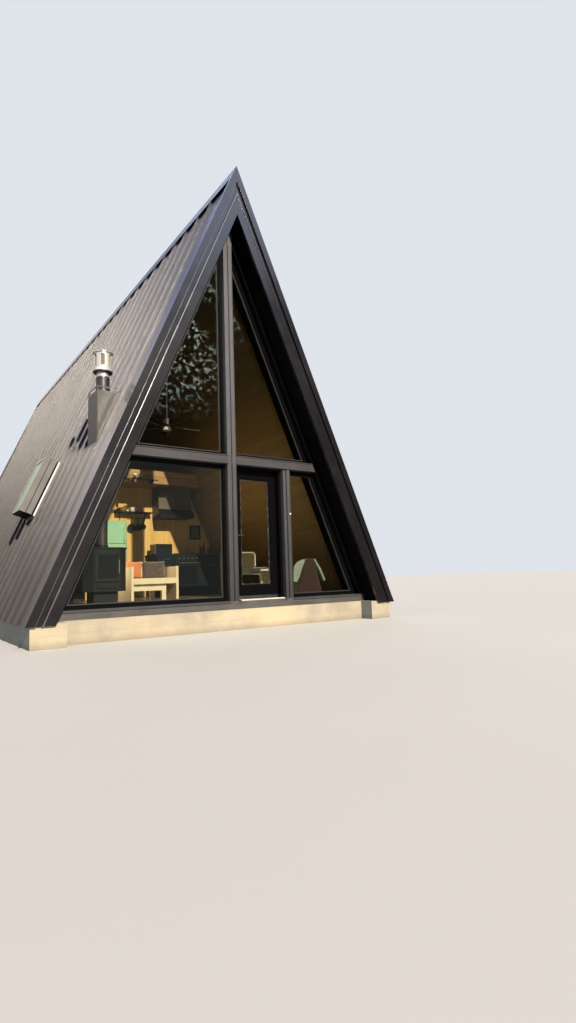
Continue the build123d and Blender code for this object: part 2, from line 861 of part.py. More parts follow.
# Flue: a slim pipe from the stove to the lining, and an insulated one through the roof
flue_top_z = chase_top_z + flue_above_chase
stove_top_z = floor_z + stove_bottom + stove_height
support_z = slope_z(-flue_x + flue_radius, soffit_inset)
with BuildPart() as flue_pipe:
    with BuildSketch(Plane.XY.offset(stove_top_z)):
        with Locations((flue_x, flue_y)):
            Circle(stove_pipe_radius)
    extrude(amount=support_z - stove_top_z)
    with BuildSketch(Plane.XY.offset(support_z)):
        with Locations((flue_x, flue_y)):
            Circle(flue_radius)
    extrude(amount=flue_top_z - support_z)
save(flue_pipe, "flue_pipe")

# Chimney cap: collar, flared skirt, a round body with tall slots and a lid
cap_base_z = flue_top_z + collar_height
cap_body_z = cap_base_z + cap_skirt
cap_lid_z = cap_base_z + cap_height - cap_lid_height
with BuildPart() as chimney_cap:
    with BuildSketch(Plane(origin=(flue_x, flue_y, 0), x_dir=(1, 0, 0), z_dir=(0, -1, 0))):
        with BuildLine():
            Polyline((0, flue_top_z), (collar_radius, flue_top_z), (collar_radius, cap_base_z),
                     (cap_radius, cap_base_z), (cap_radius, cap_base_z + cap_rim),
                     (cap_body_radius, cap_body_z), (cap_body_radius, cap_lid_z),
                     (cap_radius, cap_lid_z), (cap_radius, cap_lid_z + cap_lid_rim),
                     (0, cap_lid_z + cap_lid_height), close=True)
        make_face()
    revolve(axis=Axis((flue_x, flue_y, 0), (0, 0, 1)))
    slot_depth = 2 * (cap_body_radius - cap_core_radius)
    slot_z = (cap_body_z + cap_lid_z - cap_slot_height) / 2
    with BuildSketch(Plane.XY.offset(slot_z)):
        with Locations((flue_x, flue_y)):
            with PolarLocations(cap_body_radius, cap_slots, start_angle=cap_slot_turn):
                Rectangle(slot_depth, cap_slot_width)
    extrude(amount=cap_slot_height, mode=Mode.SUBTRACT)
save(chimney_cap, "chimney_cap")

# Roof window: a curb through the left slope with a flange on the pans, a capping frame and a pane
with BuildPart() as roof_window_frame:
    with BuildSketch(on_left_slope(soffit_inset)):
        with Locations(window_middle):
            Rectangle(roof_window_width, roof_window_length)
            Rectangle(roof_window_width - 2 * roof_window_rim,
                      roof_window_length - 2 * roof_window_rim, mode=Mode.SUBTRACT)
    extrude(amount=soffit_inset - pan_inset + roof_window_stand)
    with BuildSketch(on_left_slope(pan_inset)):
        with Locations(window_middle):
            Rectangle(roof_window_width + 2 * window_flange, roof_window_length + 2 * window_flange)
            Rectangle(roof_window_width, roof_window_length, mode=Mode.SUBTRACT)
    extrude(amount=flange_thickness)
save(roof_window_frame, "roof_window_frame")

sash_inset = pan_inset - roof_window_stand
sash_width = roof_window_width + 2 * sash_lap
sash_length = roof_window_length + 2 * sash_lap
with BuildPart() as roof_window_sash:
    with BuildSketch(on_left_slope(sash_inset)):
        with Locations(window_middle):
            Rectangle(sash_width, sash_length)
            Rectangle(sash_width - 2 * sash_rim, sash_length - 2 * sash_rim, mode=Mode.SUBTRACT)
    extrude(amount=sash_thickness)
    with BuildSketch(on_left_slope(sash_inset)):
        with Locations(window_middle):
            Rectangle(sash_width, sash_length)
            Rectangle(sash_width - 2 * sash_skirt_thickness, sash_length - 2 * sash_skirt_thickness,
                      mode=Mode.SUBTRACT)
    extrude(amount=-sash_skirt)
save(roof_window_sash, "roof_window_sash")

with BuildPart() as roof_window_glass:
    with BuildSketch(on_left_slope(sash_inset - (sash_thickness - glass_thickness) / 2)):
        with Locations(window_middle):
            Rectangle(sash_width - 2 * sash_rim, sash_length - 2 * sash_rim)
    extrude(amount=glass_thickness)
save(roof_window_glass, "roof_window_glass")

# Stove on its pedestal
stove_body_z = floor_z + stove_bottom
with BuildPart() as stove:
    with BuildSketch(Plane.XY.offset(floor_z)):
        with Locations((flue_x, flue_y)):
            Rectangle(stove_foot_width, stove_foot_width)
    extrude(amount=stove_bottom)
    with BuildSketch(Plane.XY.offset(stove_body_z)) as stove_body:
        with Locations((flue_x, flue_y)):
            Rectangle(stove_width, stove_depth)
        chamfer(stove_body.vertices(), length=stove_corner)
    extrude(amount=stove_height - stove_top_thickness)
    with BuildSketch(Plane.XY.offset(stove_top_z - stove_top_thickness)) as stove_plate:
        with Locations((flue_x, flue_y)):
            Rectangle(stove_width + 2 * stove_top_overhang, stove_depth + 2 * stove_top_overhang)
        chamfer(stove_plate.vertices(), length=stove_corner)
    extrude(amount=stove_top_thickness)
save(stove, "stove")

# Loft floor, from its front edge to the back wall
loft_front_y = gable_y + loft_from_gable
loft_top_z = foundation_height + loft_top
loft_bottom_z = loft_top_z - loft_depth
with BuildPart() as loft_floor:
    with BuildSketch(gable_plane(loft_front_y)):
        low = slope_x(loft_bottom_z, soffit_inset)
        high = slope_x(loft_top_z, soffit_inset)
        with BuildLine():
            Polyline((-low, loft_bottom_z), (low, loft_bottom_z), (high, loft_top_z),
                     (-high, loft_top_z), close=True)
        make_face()
    extrude(amount=-(floor_back - loft_front_y))
save(loft_floor, "loft_floor")

# Cross wall under the loft, with an open doorway
partition_y = gable_y + partition_from_gable
with BuildPart() as partition_wall:
    with BuildSketch(gable_plane(partition_y)):
        low = slope_x(floor_z, soffit_inset) - floor_clearance
        high = slope_x(loft_bottom_z, soffit_inset)
        with BuildLine():
            Polyline((-low, floor_z), (low, floor_z), (high, loft_bottom_z), (-high, loft_bottom_z),
                     close=True)
        make_face()
        inner_door_x = inner_door_from_slope - slope_x(floor_z + inner_door_height, soffit_inset)
        with Locations((inner_door_x, floor_z)):
            Rectangle(inner_door_width, inner_door_height, align=Align.MIN, mode=Mode.SUBTRACT)
    extrude(amount=-partition_thickness)
save(partition_wall, "partition_wall")

# Kitchen counter on a recessed toe board
counter_left = slope_x(floor_z + counter_height, soffit_inset) - counter_from_slope - counter_width
with BuildPart() as kitchen_counter:
    with BuildSketch(Plane.XY.offset(floor_z)):
        with Locations((counter_left, partition_y)):
            Rectangle(counter_width, counter_depth - toe_recess, align=(Align.MIN, Align.MAX))
    extrude(amount=toe_height)
    with BuildSketch(Plane.XY.offset(floor_z + toe_height)):
        with Locations((counter_left, partition_y)):
            Rectangle(counter_width, counter_depth, align=(Align.MIN, Align.MAX))
    extrude(amount=counter_height - counter_top - toe_height)
    with BuildSketch(Plane.XY.offset(floor_z + counter_height - counter_top)):
        with Locations((counter_left - counter_overhang, partition_y)):
            Rectangle(counter_width + counter_overhang, counter_depth + counter_overhang,
                      align=(Align.MIN, Align.MAX))
    extrude(amount=counter_top)
save(kitchen_counter, "kitchen_counter")

# Wall cabinets under the loft, with a wedge hood under them
cabinet_z = loft_bottom_z - cabinet_height
cabinet_left = slope_x(loft_bottom_z, soffit_inset) - cabinet_from_slope - cabinet_width
with BuildPart() as kitchen_cabinets:
    with BuildSketch(Plane(origin=(cabinet_left, partition_y, 0), x_dir=(0, 1, 0), z_dir=(1, 0, 0))):
        with BuildLine():
            Polyline((0, loft_bottom_z), (-cabinet_depth, loft_bottom_z), (-cabinet_depth, cabinet_z),
                     (-hood_depth, cabinet_z - hood_height + hood_lip),
                     (-hood_depth, cabinet_z - hood_height), (0, cabinet_z - hood_height), close=True)
        make_face()
    extrude(amount=cabinet_width)
save(kitchen_cabinets, "kitchen_cabinets")

# Fridge with rounded corners, two doors parted by a groove, and a bar handle on each
fridge_back_y = partition_y - fridge_gap
fridge_middle = (fridge_left + fridge_width / 2, fridge_back_y - fridge_depth / 2)
fridge_front_y = fridge_back_y - fridge_depth
with BuildPart() as fridge:
    with BuildSketch(Plane.XY.offset(floor_z)):
        with Locations(fridge_middle):
            RectangleRounded(fridge_width, fridge_depth, fridge_corner)
    extrude(amount=fridge_height)
    with BuildSketch(gable_plane(fridge_front_y)):
        with Locations((fridge_middle[0], floor_z + fridge_split)):
            Rectangle(fridge_width, fridge_groove)
    extrude(amount=-fridge_corner, mode=Mode.SUBTRACT)
    handle_x = fridge_left + fridge_width - fridge_corner - fridge_handle_width
    for handle_foot in (fridge_split + fridge_corner, fridge_split - fridge_corner - fridge_handle):
        with BuildSketch(gable_plane(fridge_front_y)):
            with Locations((handle_x, floor_z + handle_foot)):
                Rectangle(fridge_handle_width, fridge_handle, align=Align.MIN)
        extrude(amount=fridge_handle_stand)
save(fridge, "fridge")

# Sofa that faces the glazed gable: two end panels, a seat over a set-back box, and a back
sofa_y = gable_y + sofa_from_gable
sofa_back_y = sofa_y + sofa_depth
sofa_inner_x = sofa_left + sofa_arm_thickness
sofa_inner = sofa_length - 2 * sofa_arm_thickness
box_y = sofa_y + sofa_box_setback
with BuildPart() as sofa:
    for end_x in (sofa_left, sofa_inner_x + sofa_inner):
        with BuildSketch(Plane.XY.offset(floor_z)):
            with Locations((end_x, sofa_y)):
                Rectangle(sofa_arm_thickness, sofa_depth, align=Align.MIN)
        extrude(amount=sofa_arm_height)
    with BuildSketch(Plane.XY.offset(floor_z + sofa_seat_height)):
        with Locations((sofa_inner_x, sofa_y)):
            Rectangle(sofa_inner, sofa_depth, align=Align.MIN)
    extrude(amount=-sofa_seat_thickness)
    with BuildSketch(Plane.XY.offset(floor_z + sofa_box_bottom)):
        with Locations((sofa_inner_x, box_y)):
            Rectangle(sofa_box_length, sofa_back_y - box_y, align=Align.MIN)
    extrude(amount=sofa_seat_height - sofa_seat_thickness - sofa_box_bottom)
    with BuildSketch(Plane.XY.offset(floor_z)):
        for leg_y in (box_y, sofa_back_y - sofa_leg):
            with Locations((sofa_inner_x + sofa_box_length, leg_y)):
                Rectangle(sofa_leg, sofa_leg, align=(Align.MAX, Align.MIN))
    extrude(amount=sofa_seat_height - sofa_seat_thickness)
    with BuildSketch(Plane.XY.offset(floor_z + sofa_seat_height)):
        with Locations((sofa_inner_x, sofa_back_y - sofa_back_thickness)):
            Rectangle(sofa_inner, sofa_back_thickness, align=Align.MIN)
    extrude(amount=sofa_back_height - sofa_seat_height)
save(sofa, "sofa")

# Loose cushions that stand on the seat against the back
with BuildPart() as sofa_cushions:
    cushion_x = sofa_inner_x + cushion_gap
    cushion_y = sofa_back_y - sofa_back_thickness - fit_clearance
    for width in cushion_widths:
        with BuildSketch(Plane.XY.offset(floor_z + sofa_seat_height + fit_clearance)):
            with Locations((cushion_x, cushion_y)):
                Rectangle(width, cushion_thickness, align=(Align.MIN, Align.MAX))
        extrude(amount=cushion_height)
        cushion_x += width + cushion_gap
    fillet(sofa_cushions.edges(), radius=cushion_round)
save(sofa_cushions, "sofa_cushions")

# Low table with a shelf, seen through the door
table_y = gable_y + table_from_gable
with BuildPart() as low_table:
    for board_height in (table_shelf_height, table_height):
        with BuildSketch(Plane.XY.offset(floor_z + board_height)):
            with Locations((table_left, table_y)):
                Rectangle(table_width, table_depth, align=Align.MIN)
        extrude(amount=-table_board)
    with BuildSketch(Plane.XY.offset(floor_z)):
        with Locations((table_left + table_width / 2, table_y + table_depth / 2)):
            with GridLocations(table_width - table_leg, table_depth - table_leg, 2, 2):
                Rectangle(table_leg, table_leg)
    extrude(amount=table_height)
save(low_table, "low_table")

# Padded armchair behind the table
armchair_y = gable_y + armchair_from_gable
with BuildPart() as armchair:
    with BuildSketch(Plane.XY.offset(floor_z + armchair_leg_height)):
        with Locations((armchair_left, armchair_y)):
            Rectangle(armchair_width, armchair_depth, align=Align.MIN)
    extrude(amount=armchair_back_height - armchair_leg_height)
    with BuildSketch(Plane.XY.offset(floor_z + armchair_arm_height)):
        with Locations((armchair_left, armchair_y)):
            Rectangle(armchair_width, armchair_depth - armchair_back_thickness, align=Align.MIN)
    extrude(amount=armchair_back_height, mode=Mode.SUBTRACT)
    with BuildSketch(Plane.XY.offset(floor_z + armchair_seat_height)):
        with Locations((armchair_left + armchair_arm_thickness, armchair_y)):
            Rectangle(armchair_width - 2 * armchair_arm_thickness,
                      armchair_depth - armchair_back_thickness, align=Align.MIN)
    extrude(amount=armchair_back_height, mode=Mode.SUBTRACT)
    fillet(armchair.edges(), radius=armchair_round)
    with BuildSketch(Plane.XY.offset(floor_z)):
        with Locations((armchair_left + armchair_width / 2, armchair_y + armchair_depth / 2)):
            with GridLocations(armchair_width - 2 * armchair_arm_thickness,
                               armchair_depth - 2 * armchair_arm_thickness, 2, 2):
                Rectangle(armchair_leg, armchair_leg)
    extrude(amount=armchair_leg_height)
save(armchair, "armchair")

# Tub chair at the right window, its back to the glass and narrower at the head
tub_y = gable_y + tub_chair_from_gable
tub_rise = tub_chair_height - tub_chair_seat_height
with BuildPart() as tub_chair:
    with BuildSketch(gable_plane(tub_y)):
        with BuildLine():
            Polyline((tub_chair_middle - tub_chair_width / 2, floor_z),
                     (tub_chair_middle + tub_chair_width / 2, floor_z),
                     (tub_chair_middle + tub_chair_top_width / 2, floor_z + tub_chair_height),
                     (tub_chair_middle - tub_chair_top_width / 2, floor_z + tub_chair_height), close=True)
        make_face()
    extrude(amount=-tub_chair_depth)
    with BuildSketch(Plane.XY.offset(floor_z + tub_chair_seat_height)):
        with Locations((tub_chair_middle, tub_y + tub_chair_back_thickness)):
            Rectangle(tub_chair_width, tub_chair_depth, align=(Align.CENTER, Align.MIN))
    extrude(amount=tub_rise, mode=Mode.SUBTRACT)
    fillet(tub_chair.edges().sort_by(Axis.Z)[4:], radius=tub_chair_round)
save(tub_chair, "tub_chair")

# Ceiling fan: the rod and motor hang from the ridge, the blades and lamp bowl turn under them
fan_y = gable_y + fan_from_gable
fan_z = foundation_height + fan_height
canopy_z = slope_z(fan_canopy_radius, soffit_inset)
with BuildPart() as fan_mount:
    with BuildSketch(Plane.XY.offset(fan_z)):
        with Locations((0, fan_y)):
            Circle(fan_motor_radius)
    extrude(amount=fan_motor_height)
    with BuildSketch(Plane.XY.offset(fan_z + fan_motor_height)):
        with Locations((0, fan_y)):
            Circle(fan_rod_radius)
    extrude(amount=canopy_z - fan_z - fan_motor_height)
    with BuildSketch(Plane.XY.offset(canopy_z - fan_canopy_height)):
        with Locations((0, fan_y)):
            Circle(fan_canopy_radius)
    extrude(amount=fan_canopy_height)
    with BuildSketch(Plane.XY.offset(fan_z)):
        with Locations((0, fan_y)):
            Circle(fan_shaft_radius)
    extrude(amount=-(fan_gap + hub_height - fan_gap / 2))
save(fan_mount, "fan_mount")

hub_z = fan_z - fan_gap
with BuildPart() as fan_rotor:
    with BuildSketch(Plane.XY.offset(hub_z - hub_height)):
        with Locations((0, fan_y)):
            Circle(fan_motor_radius)
    extrude(amount=hub_height)
    for index in range(fan_blades):
        angle = 2 * pi / fan_blades * index
        reach = Vector(cos(angle), sin(angle), 0)
        tilt = Vector(sin(angle), -cos(angle), 0) * sin(radians(fan_blade_pitch))
        blade_facing = tilt + Vector(0, 0, cos(radians(fan_blade_pitch)))
        blade_middle = (0, fan_y, hub_z - hub_height / 2)
        with BuildSketch(Plane(origin=blade_middle, x_dir=reach, z_dir=blade_facing)):
            with Locations((fan_motor_radius / 2, 0)):
                Rectangle(fan_blade_reach - fan_motor_radius / 2, fan_blade_width,
                          align=(Align.MIN, Align.CENTER))
        extrude(amount=fan_blade_thickness / 2, both=True)
    with BuildSketch(Plane.XY.offset(hub_z)):
        with Locations((0, fan_y)):
            Circle(fan_shaft_radius + pin_clearance)
    extrude(amount=-hub_height, mode=Mode.SUBTRACT)
    with BuildSketch(Plane.XY.offset(hub_z - hub_height - fan_bowl_height)):
        with Locations((0, fan_y)):
            Circle(fan_bowl_radius)
    extrude(amount=fan_bowl_height)
save(fan_rotor, "fan_rotor")
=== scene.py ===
import json
import math

import bpy
from mathutils import Matrix, Vector


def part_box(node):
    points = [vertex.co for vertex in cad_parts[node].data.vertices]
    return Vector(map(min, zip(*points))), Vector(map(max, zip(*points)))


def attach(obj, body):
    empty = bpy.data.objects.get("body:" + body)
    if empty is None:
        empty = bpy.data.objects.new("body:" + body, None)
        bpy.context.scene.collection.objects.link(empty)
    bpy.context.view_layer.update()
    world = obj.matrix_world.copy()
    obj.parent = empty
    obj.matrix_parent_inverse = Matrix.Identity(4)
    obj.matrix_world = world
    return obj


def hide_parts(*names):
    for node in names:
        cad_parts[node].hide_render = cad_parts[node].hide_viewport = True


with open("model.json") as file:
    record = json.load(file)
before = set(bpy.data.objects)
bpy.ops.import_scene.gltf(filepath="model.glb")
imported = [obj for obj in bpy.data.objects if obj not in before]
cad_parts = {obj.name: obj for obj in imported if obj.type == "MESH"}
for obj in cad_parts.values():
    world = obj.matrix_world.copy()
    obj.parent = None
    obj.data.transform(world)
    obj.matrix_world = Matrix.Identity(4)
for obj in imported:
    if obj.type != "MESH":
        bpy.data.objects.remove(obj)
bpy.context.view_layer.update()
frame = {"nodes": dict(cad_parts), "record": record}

# The cabin's own sizes, in metres, as the solids have them
HALF_SPAN = 2.953
RIDGE_RISE = 6.909
ROOF_LENGTH = 13.775
OVERHANG = 0.348
FOUNDATION = 0.3
SEAM_HEIGHT = 0.032
SEAM_PITCH = 0.475
SEAM_COUNT = 27
SOFFIT_INSET = 0.315
WINDOW_INSET = 0.38
SILL = 0.12
FRAME_WIDTH = 0.045
WINDOW_SETBACK = 0.1
GLASS_SETBACK = 0.03
GLASS_THICKNESS = 0.024
CHASE_OUTER = 1.854
CHASE_HEIGHT = 0.78
ROOF_WINDOW_DOWN = 4.7
ROOF_WINDOW_LENGTH = 1.036
ROOF_WINDOW_WIDTH = 0.686

# Width, height of the sill and height of each back window
BACK_WINDOWS = ((1.2, 1.2, 1.2), (0.8, 3.4, 0.9))

SLOPE = math.atan2(RIDGE_RISE, HALF_SPAN)
APEX_Z = FOUNDATION + RIDGE_RISE
FLOOR_Z = FOUNDATION + SILL
GABLE_Y = -ROOF_LENGTH / 2 + OVERHANG
ROOF_WINDOW_Y = GABLE_Y + 2.883
RAKE_FACE = ROOF_LENGTH / 2
RAKE_FOOT = FOUNDATION - 0.03
SIDES = (-1, 1)

post_low, post_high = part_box("centre_post")
door_post_low, door_post_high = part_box("door_post")
transom_low, transom_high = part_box("transom")
HALF_POST = post_high.x
TRANSOM_Z = transom_low.z
TRANSOM_TOP = transom_high.z


def slope_x(z, inset):
    """Where a line inset below the seam tops is at height z."""
    return (APEX_Z - z) / math.tan(SLOPE) - inset / math.sin(SLOPE)


def slope_z(x, inset):
    """How high that line is at x."""
    return APEX_Z - abs(x) * math.tan(SLOPE) - inset / math.cos(SLOPE)


def scaled(color, factor):
    return tuple(c * factor for c in color)


# Node helpers
class Nodes:
    """Short calls that add nodes to one tree."""

    def __init__(self, tree):
        self.tree = tree

    def feed(self, socket, value):
        """Links a socket, or sets a number, vector or colour on it."""
        if isinstance(value, bpy.types.NodeSocket):
            self.tree.links.new(value, socket)
        else:
            socket.default_value = (*value, 1.0) if socket.type == "RGBA" else value

    def node(self, kind, inputs=(), **settings):
        """One node. Its inputs are given in order, or by name in a dict."""
        made = self.tree.nodes.new("ShaderNode" + kind)
        for key, value in settings.items():
            setattr(made, key, value)
        for key, value in inputs.items() if isinstance(inputs, dict) else enumerate(inputs):
            self.feed(made.inputs[key], value)
        return made

    def place(self):
        return self.node("TexCoord").outputs["Object"]

    def stretch(self, scale):
        return self.node("Mapping", {"Vector": self.place(), "Scale": scale}).outputs["Vector"]

    def noise(self, scale, detail, rough, vector=None, distortion=0.0):
        values = {"Scale": scale, "Detail": detail, "Roughness": rough, "Distortion": distortion}
        return self.node("TexNoise", {"Vector": vector or self.place(), **values}).outputs["Fac"]

    def cells(self, scale, low, high, vector=None, distance="EUCLIDEAN"):
        """1 at the middle of scattered cells, gone from low to high away from it."""
        inputs = {"Vector": vector or self.place(), "Scale": scale}
        made = self.node("TexVoronoi", inputs, feature="F1", distance=distance)
        return self.spread(made.outputs["Distance"], low, high, 1.0, 0.0)

    def math(self, operation, a, b=0.0):
        return self.node("Math", (a, b), operation=operation).outputs["Value"]

    def times(self, a, b):
        return self.math("MULTIPLY", a, b)

    def plus(self, a, b):
        return self.math("ADD", a, b)

    def minus(self, a, b):
        return self.math("SUBTRACT", a, b)

    def spread(self, value, low, high, to_low=0.0, to_high=1.0):
        """value from low..high put onto to_low..to_high, clamped."""
        return self.node("MapRange", (value, low, high, to_low, to_high)).outputs["Result"]

    def mix(self, factor, a, b, blend="MIX"):
        made = self.node("Mix", data_type="RGBA", blend_type=blend)
        sockets = {s.identifier: s for s in made.inputs}
        for key, value in (("Factor_Float", factor), ("A_Color", a), ("B_Color", b)):
            self.feed(sockets[key], value)
        return [s for s in made.outputs if s.identifier == "Result_Color"][0]

    def parts(self, vector=None):
        return self.node("SeparateXYZ", (vector or self.place(),)).outputs

    def facing(self, axis):
        """How squarely a face looks along an axis, either way."""
        normal = self.node("NewGeometry").outputs["True Normal"]
        return self.math("ABSOLUTE", self.parts(normal)[axis])

    def either(self, factor, one, two):
        return self.node("MixShader", (factor, one, two)).outputs["Shader"]


LOOKS = {}


class Look(Nodes):
    """One material with a Principled shader, kept in LOOKS under its name."""

    def __init__(self, name, color, roughness=0.5, metallic=0.0, specular=0.5, coat=0.0,
                 coat_roughness=0.1):
        LOOKS[name] = bpy.data.materials.new(name)
        LOOKS[name].use_nodes = True
        super().__init__(LOOKS[name].node_tree)
        self.shader = self.tree.nodes["Principled BSDF"]
        self.color(color)
        self.roughness(roughness)
        self.set("Metallic", metallic)
        self.set("Specular IOR Level", specular)
        self.set("Coat Weight", coat)
        self.set("Coat Roughness", coat_roughness)
        self.relief = None

    def set(self, socket, value):
        self.feed(self.shader.inputs[socket], value)

    def color(self, value):
        self.set("Base Color", value)

    def roughness(self, value):
        self.set("Roughness", value)

    def bump(self, height, distance):
        """One more layer of relief, distance metres deep."""
        made = self.node("Bump", {"Strength": 1.0, "Distance": distance, "Height": height})
        if self.relief:
            self.feed(made.inputs["Normal"], self.relief)
        self.relief = made.outputs["Normal"]
        self.set("Normal", self.relief)

    def down_slope(self):
        """Distance down either slope, from the place on it."""
        spot = self.parts()
        level = self.times(self.math("ABSOLUTE", spot["X"]), math.cos(SLOPE))
        return self.minus(level, self.times(spot["Z"], math.sin(SLOPE)))

    def above_slope(self):
        """Height over the pans of either slope, square to it."""
        spot = self.parts()
        out = self.times(self.math("ABSOLUTE", spot["X"]), math.sin(SLOPE))
        level = self.times(self.minus(spot["Z"], APEX_Z), math.cos(SLOPE))
        return self.plus(self.plus(out, level), SEAM_HEIGHT)

    def boards(self, way, pitch, gap=0.03):
        """Two sockets for boards laid side by side: 1 in the gaps, and one random number a board.

        way is X or Z, or slope for boards that follow each other down a slope.
        """
        across = self.down_slope() if way == "slope" else self.parts()[way]
        count = self.math("DIVIDE", across, pitch)
        edge = self.math("ABSOLUTE", self.minus(self.math("FRACT", count), 0.5))
        groove = self.spread(edge, 0.5 - gap, 0.5 - gap / 4)
        pick = self.node("TexWhiteNoise", noise_dimensions="1D")
        self.feed(pick.inputs["W"], self.math("FLOOR", count))
        return groove, pick.outputs["Value"]

    def grain(self, along, fine=1.0):
        """Two sockets for grain that runs along an axis: broad figure and fine fibre."""
        def layer(across, lengthwise, *noise):
            scale = [across * fine] * 3
            scale[along] = lengthwise * fine
            return self.noise(1.0, *noise[:2], self.stretch(scale), *noise[2:])

        return layer(14.0, 0.9, 5.0, 0.62, 1.2), layer(90.0, 2.5, 6.0, 0.7)

    def paint_shade_at_foot(self, shade, low, high, tint):
        """The colour, darkened by a painted shade tint below low, and less and less so up to high."""
        return self.mix(self.spread(self.parts()["Z"], low, high, 1.0, 0.0), shade, tint, "MULTIPLY")


# Materials
EVEN = (1.0, 1.0, 1.0)


def coated_metal(name, color, lift, roughness, run=EVEN, specular=0.5, coat=0.2, rib_roughness=None):
    """Factory-coated sheet with faint dust in broad patches and streaks. Its upright ribs may be duller."""
    look = Look(name, color, roughness, 0.0, specular, coat, roughness * 0.8)
    broad = look.noise(0.9, 3.0, 0.55)
    streak = look.noise(3.0, 4.0, 0.6, look.stretch(run))
    dust = look.spread(look.times(broad, streak), 0.12, 0.45)
    look.color(look.mix(dust, color, lift))
    shine = look.spread(dust, 0.0, 1.0, roughness - 0.03, roughness + 0.05)
    if rib_roughness:
        rib = look.spread(look.facing("Y"), 0.5, 0.8)
        shine = look.plus(shine, look.times(rib, rib_roughness - roughness))
    look.roughness(shine)


def board_wood(name, dark, pale, way, pitch, along, roughness=0.38, spread=0.35, gap=0.02, knots=True,
               painted_foot_shade=1.0):
    """Varnished boards side by side, each with its own tone, grain, knots and shadow gaps, and painted shade
    at the foot if asked.
    """
    look = Look(name, pale, roughness, 0.0, 0.5, 0.3, 0.2)
    groove, pick = look.boards(way, pitch, gap)
    figure, fibre = look.grain(along)
    tone = look.plus(look.times(figure, 1.3), look.times(fibre, 0.35))
    tone = look.plus(tone, look.times(look.minus(pick, 0.5), spread))
    color = look.mix(look.spread(tone, 0.5, 1.15), dark, pale)
    if knots:
        squash = [2.1, 2.1, 2.1]
        squash[along] = 0.8
        knot = look.cells(5.0, 0.035, 0.075, look.stretch(squash))
        color = look.mix(look.times(knot, 0.7), color, scaled(dark, 0.25))
    color = look.mix(groove, color, scaled(dark, 0.12))
    # Painted shade: the boards grow darker towards the foot.
    if painted_foot_shade < 1.0:
        color = look.paint_shade_at_foot(color, 0.9, 2.5, scaled((1.0, 0.95, 0.8), painted_foot_shade))
    look.color(color)
    look.roughness(look.spread(fibre, 0.3, 0.7, roughness - 0.06, roughness + 0.1))
    look.bump(look.minus(1.0, groove), 0.004)
    look.bump(fibre, 0.0004)


def painted_wood(name, color, lift, along, roughness=0.5, boards=None, specular=0.4, painted_foot_shade=1.0):
    """Painted timber with worn, paler patches and a faint grain in relief. Its foot may carry painted shade.
    """
    look = Look(name, color, roughness, 0.0, specular)
    figure, fibre = look.grain(along, 0.8)
    worn = look.spread(look.times(look.noise(2.3, 4.0, 0.6), fibre), 0.16, 0.42)
    shade = look.mix(worn, color, lift)
    if boards:
        groove, pick = look.boards(*boards)
        shade = look.mix(look.times(pick, 0.35), shade, scaled(color, 0.6))
        shade = look.mix(groove, shade, scaled(color, 0.15))
        look.bump(look.minus(1.0, groove), 0.005)
    # Painted shade: the paint grows darker towards the foot.
    if painted_foot_shade < 1.0:
        shade = look.paint_shade_at_foot(shade, FLOOR_Z, 4.2, scaled((1.0, 0.97, 0.92), painted_foot_shade))
    look.color(shade)
    look.roughness(look.spread(figure, 0.3, 0.7, roughness - 0.08, roughness + 0.1))
    look.bump(fibre, 0.0006)


def concrete(name):
    """Cast concrete: warm and pale, with blotches, fine sand, small air holes, the form boards' lines and a
    darker foot; faces along X carry painted cool shade.
    """
    base, dark, warm = (0.44, 0.385, 0.29), (0.29, 0.25, 0.19), (0.5, 0.41, 0.26)
    look = Look(name, base, 0.85, 0.0, 0.3)
    blotch = look.noise(1.7, 5.0, 0.65)
    sand = look.noise(160.0, 3.0, 0.7)
    tint = look.mix(look.spread(blotch, 0.35, 0.68), dark, base)
    tint = look.mix(look.spread(look.noise(0.6, 3.0, 0.5), 0.45, 0.7), tint, warm)
    foot = look.plus(look.parts()["Z"], look.times(look.noise(5.0, 4.0, 0.6), 0.1))
    tint = look.mix(look.spread(foot, 0.06, 0.15, 0.55, 0.0), tint, (0.16, 0.135, 0.105))
    tint = look.mix(look.spread(sand, 0.4, 0.75, 0.0, 0.3), tint, (0.62, 0.56, 0.43))
    few = look.spread(look.noise(7.0, 2.0, 0.5), 0.55, 0.62)
    pit = look.times(look.cells(24.0, 0.05, 0.12), few)
    # Painted shade: faces that look along X are tinted cooler and darker, as if lit by the sky alone.
    tint = look.mix(look.spread(look.facing("X"), 0.5, 0.9), tint, (0.62, 0.74, 0.92), "MULTIPLY")
    look.color(look.mix(look.times(pit, 0.7), tint, (0.12, 0.1, 0.08)))
    groove = look.boards("Z", 0.145, 0.015)[0]
    look.bump(look.minus(1.0, groove), 0.0015)
    look.bump(look.minus(1.0, pit), 0.004)
    look.bump(blotch, 0.004)
    look.bump(sand, 0.0007)


def clear_glass(name, tint, mirror_color):
    """Thin panes: what is behind shows through a faint tint, and the face mirrors by Fresnel."""
    LOOKS[name] = bpy.data.materials.new(name)
    LOOKS[name].use_nodes = True
    pane = Nodes(LOOKS[name].node_tree)
    pane.tree.nodes.clear()
    through = pane.node("BsdfTransparent", {"Color": tint})
    mirror = pane.node("BsdfGlossy", {"Color": mirror_color, "Roughness": 0.01})
    edge = pane.node("Fresnel", {"IOR": 1.5})
    ripple = pane.node("Bump", {"Distance": 0.0012, "Height": pane.noise(1.3, 2.0, 0.5)})
    pane.feed(mirror.inputs["Normal"], ripple.outputs["Normal"])
    both = pane.either(edge.outputs["Fac"], through.outputs["BSDF"], mirror.outputs["BSDF"])
    pane.node("OutputMaterial", {"Surface": both})


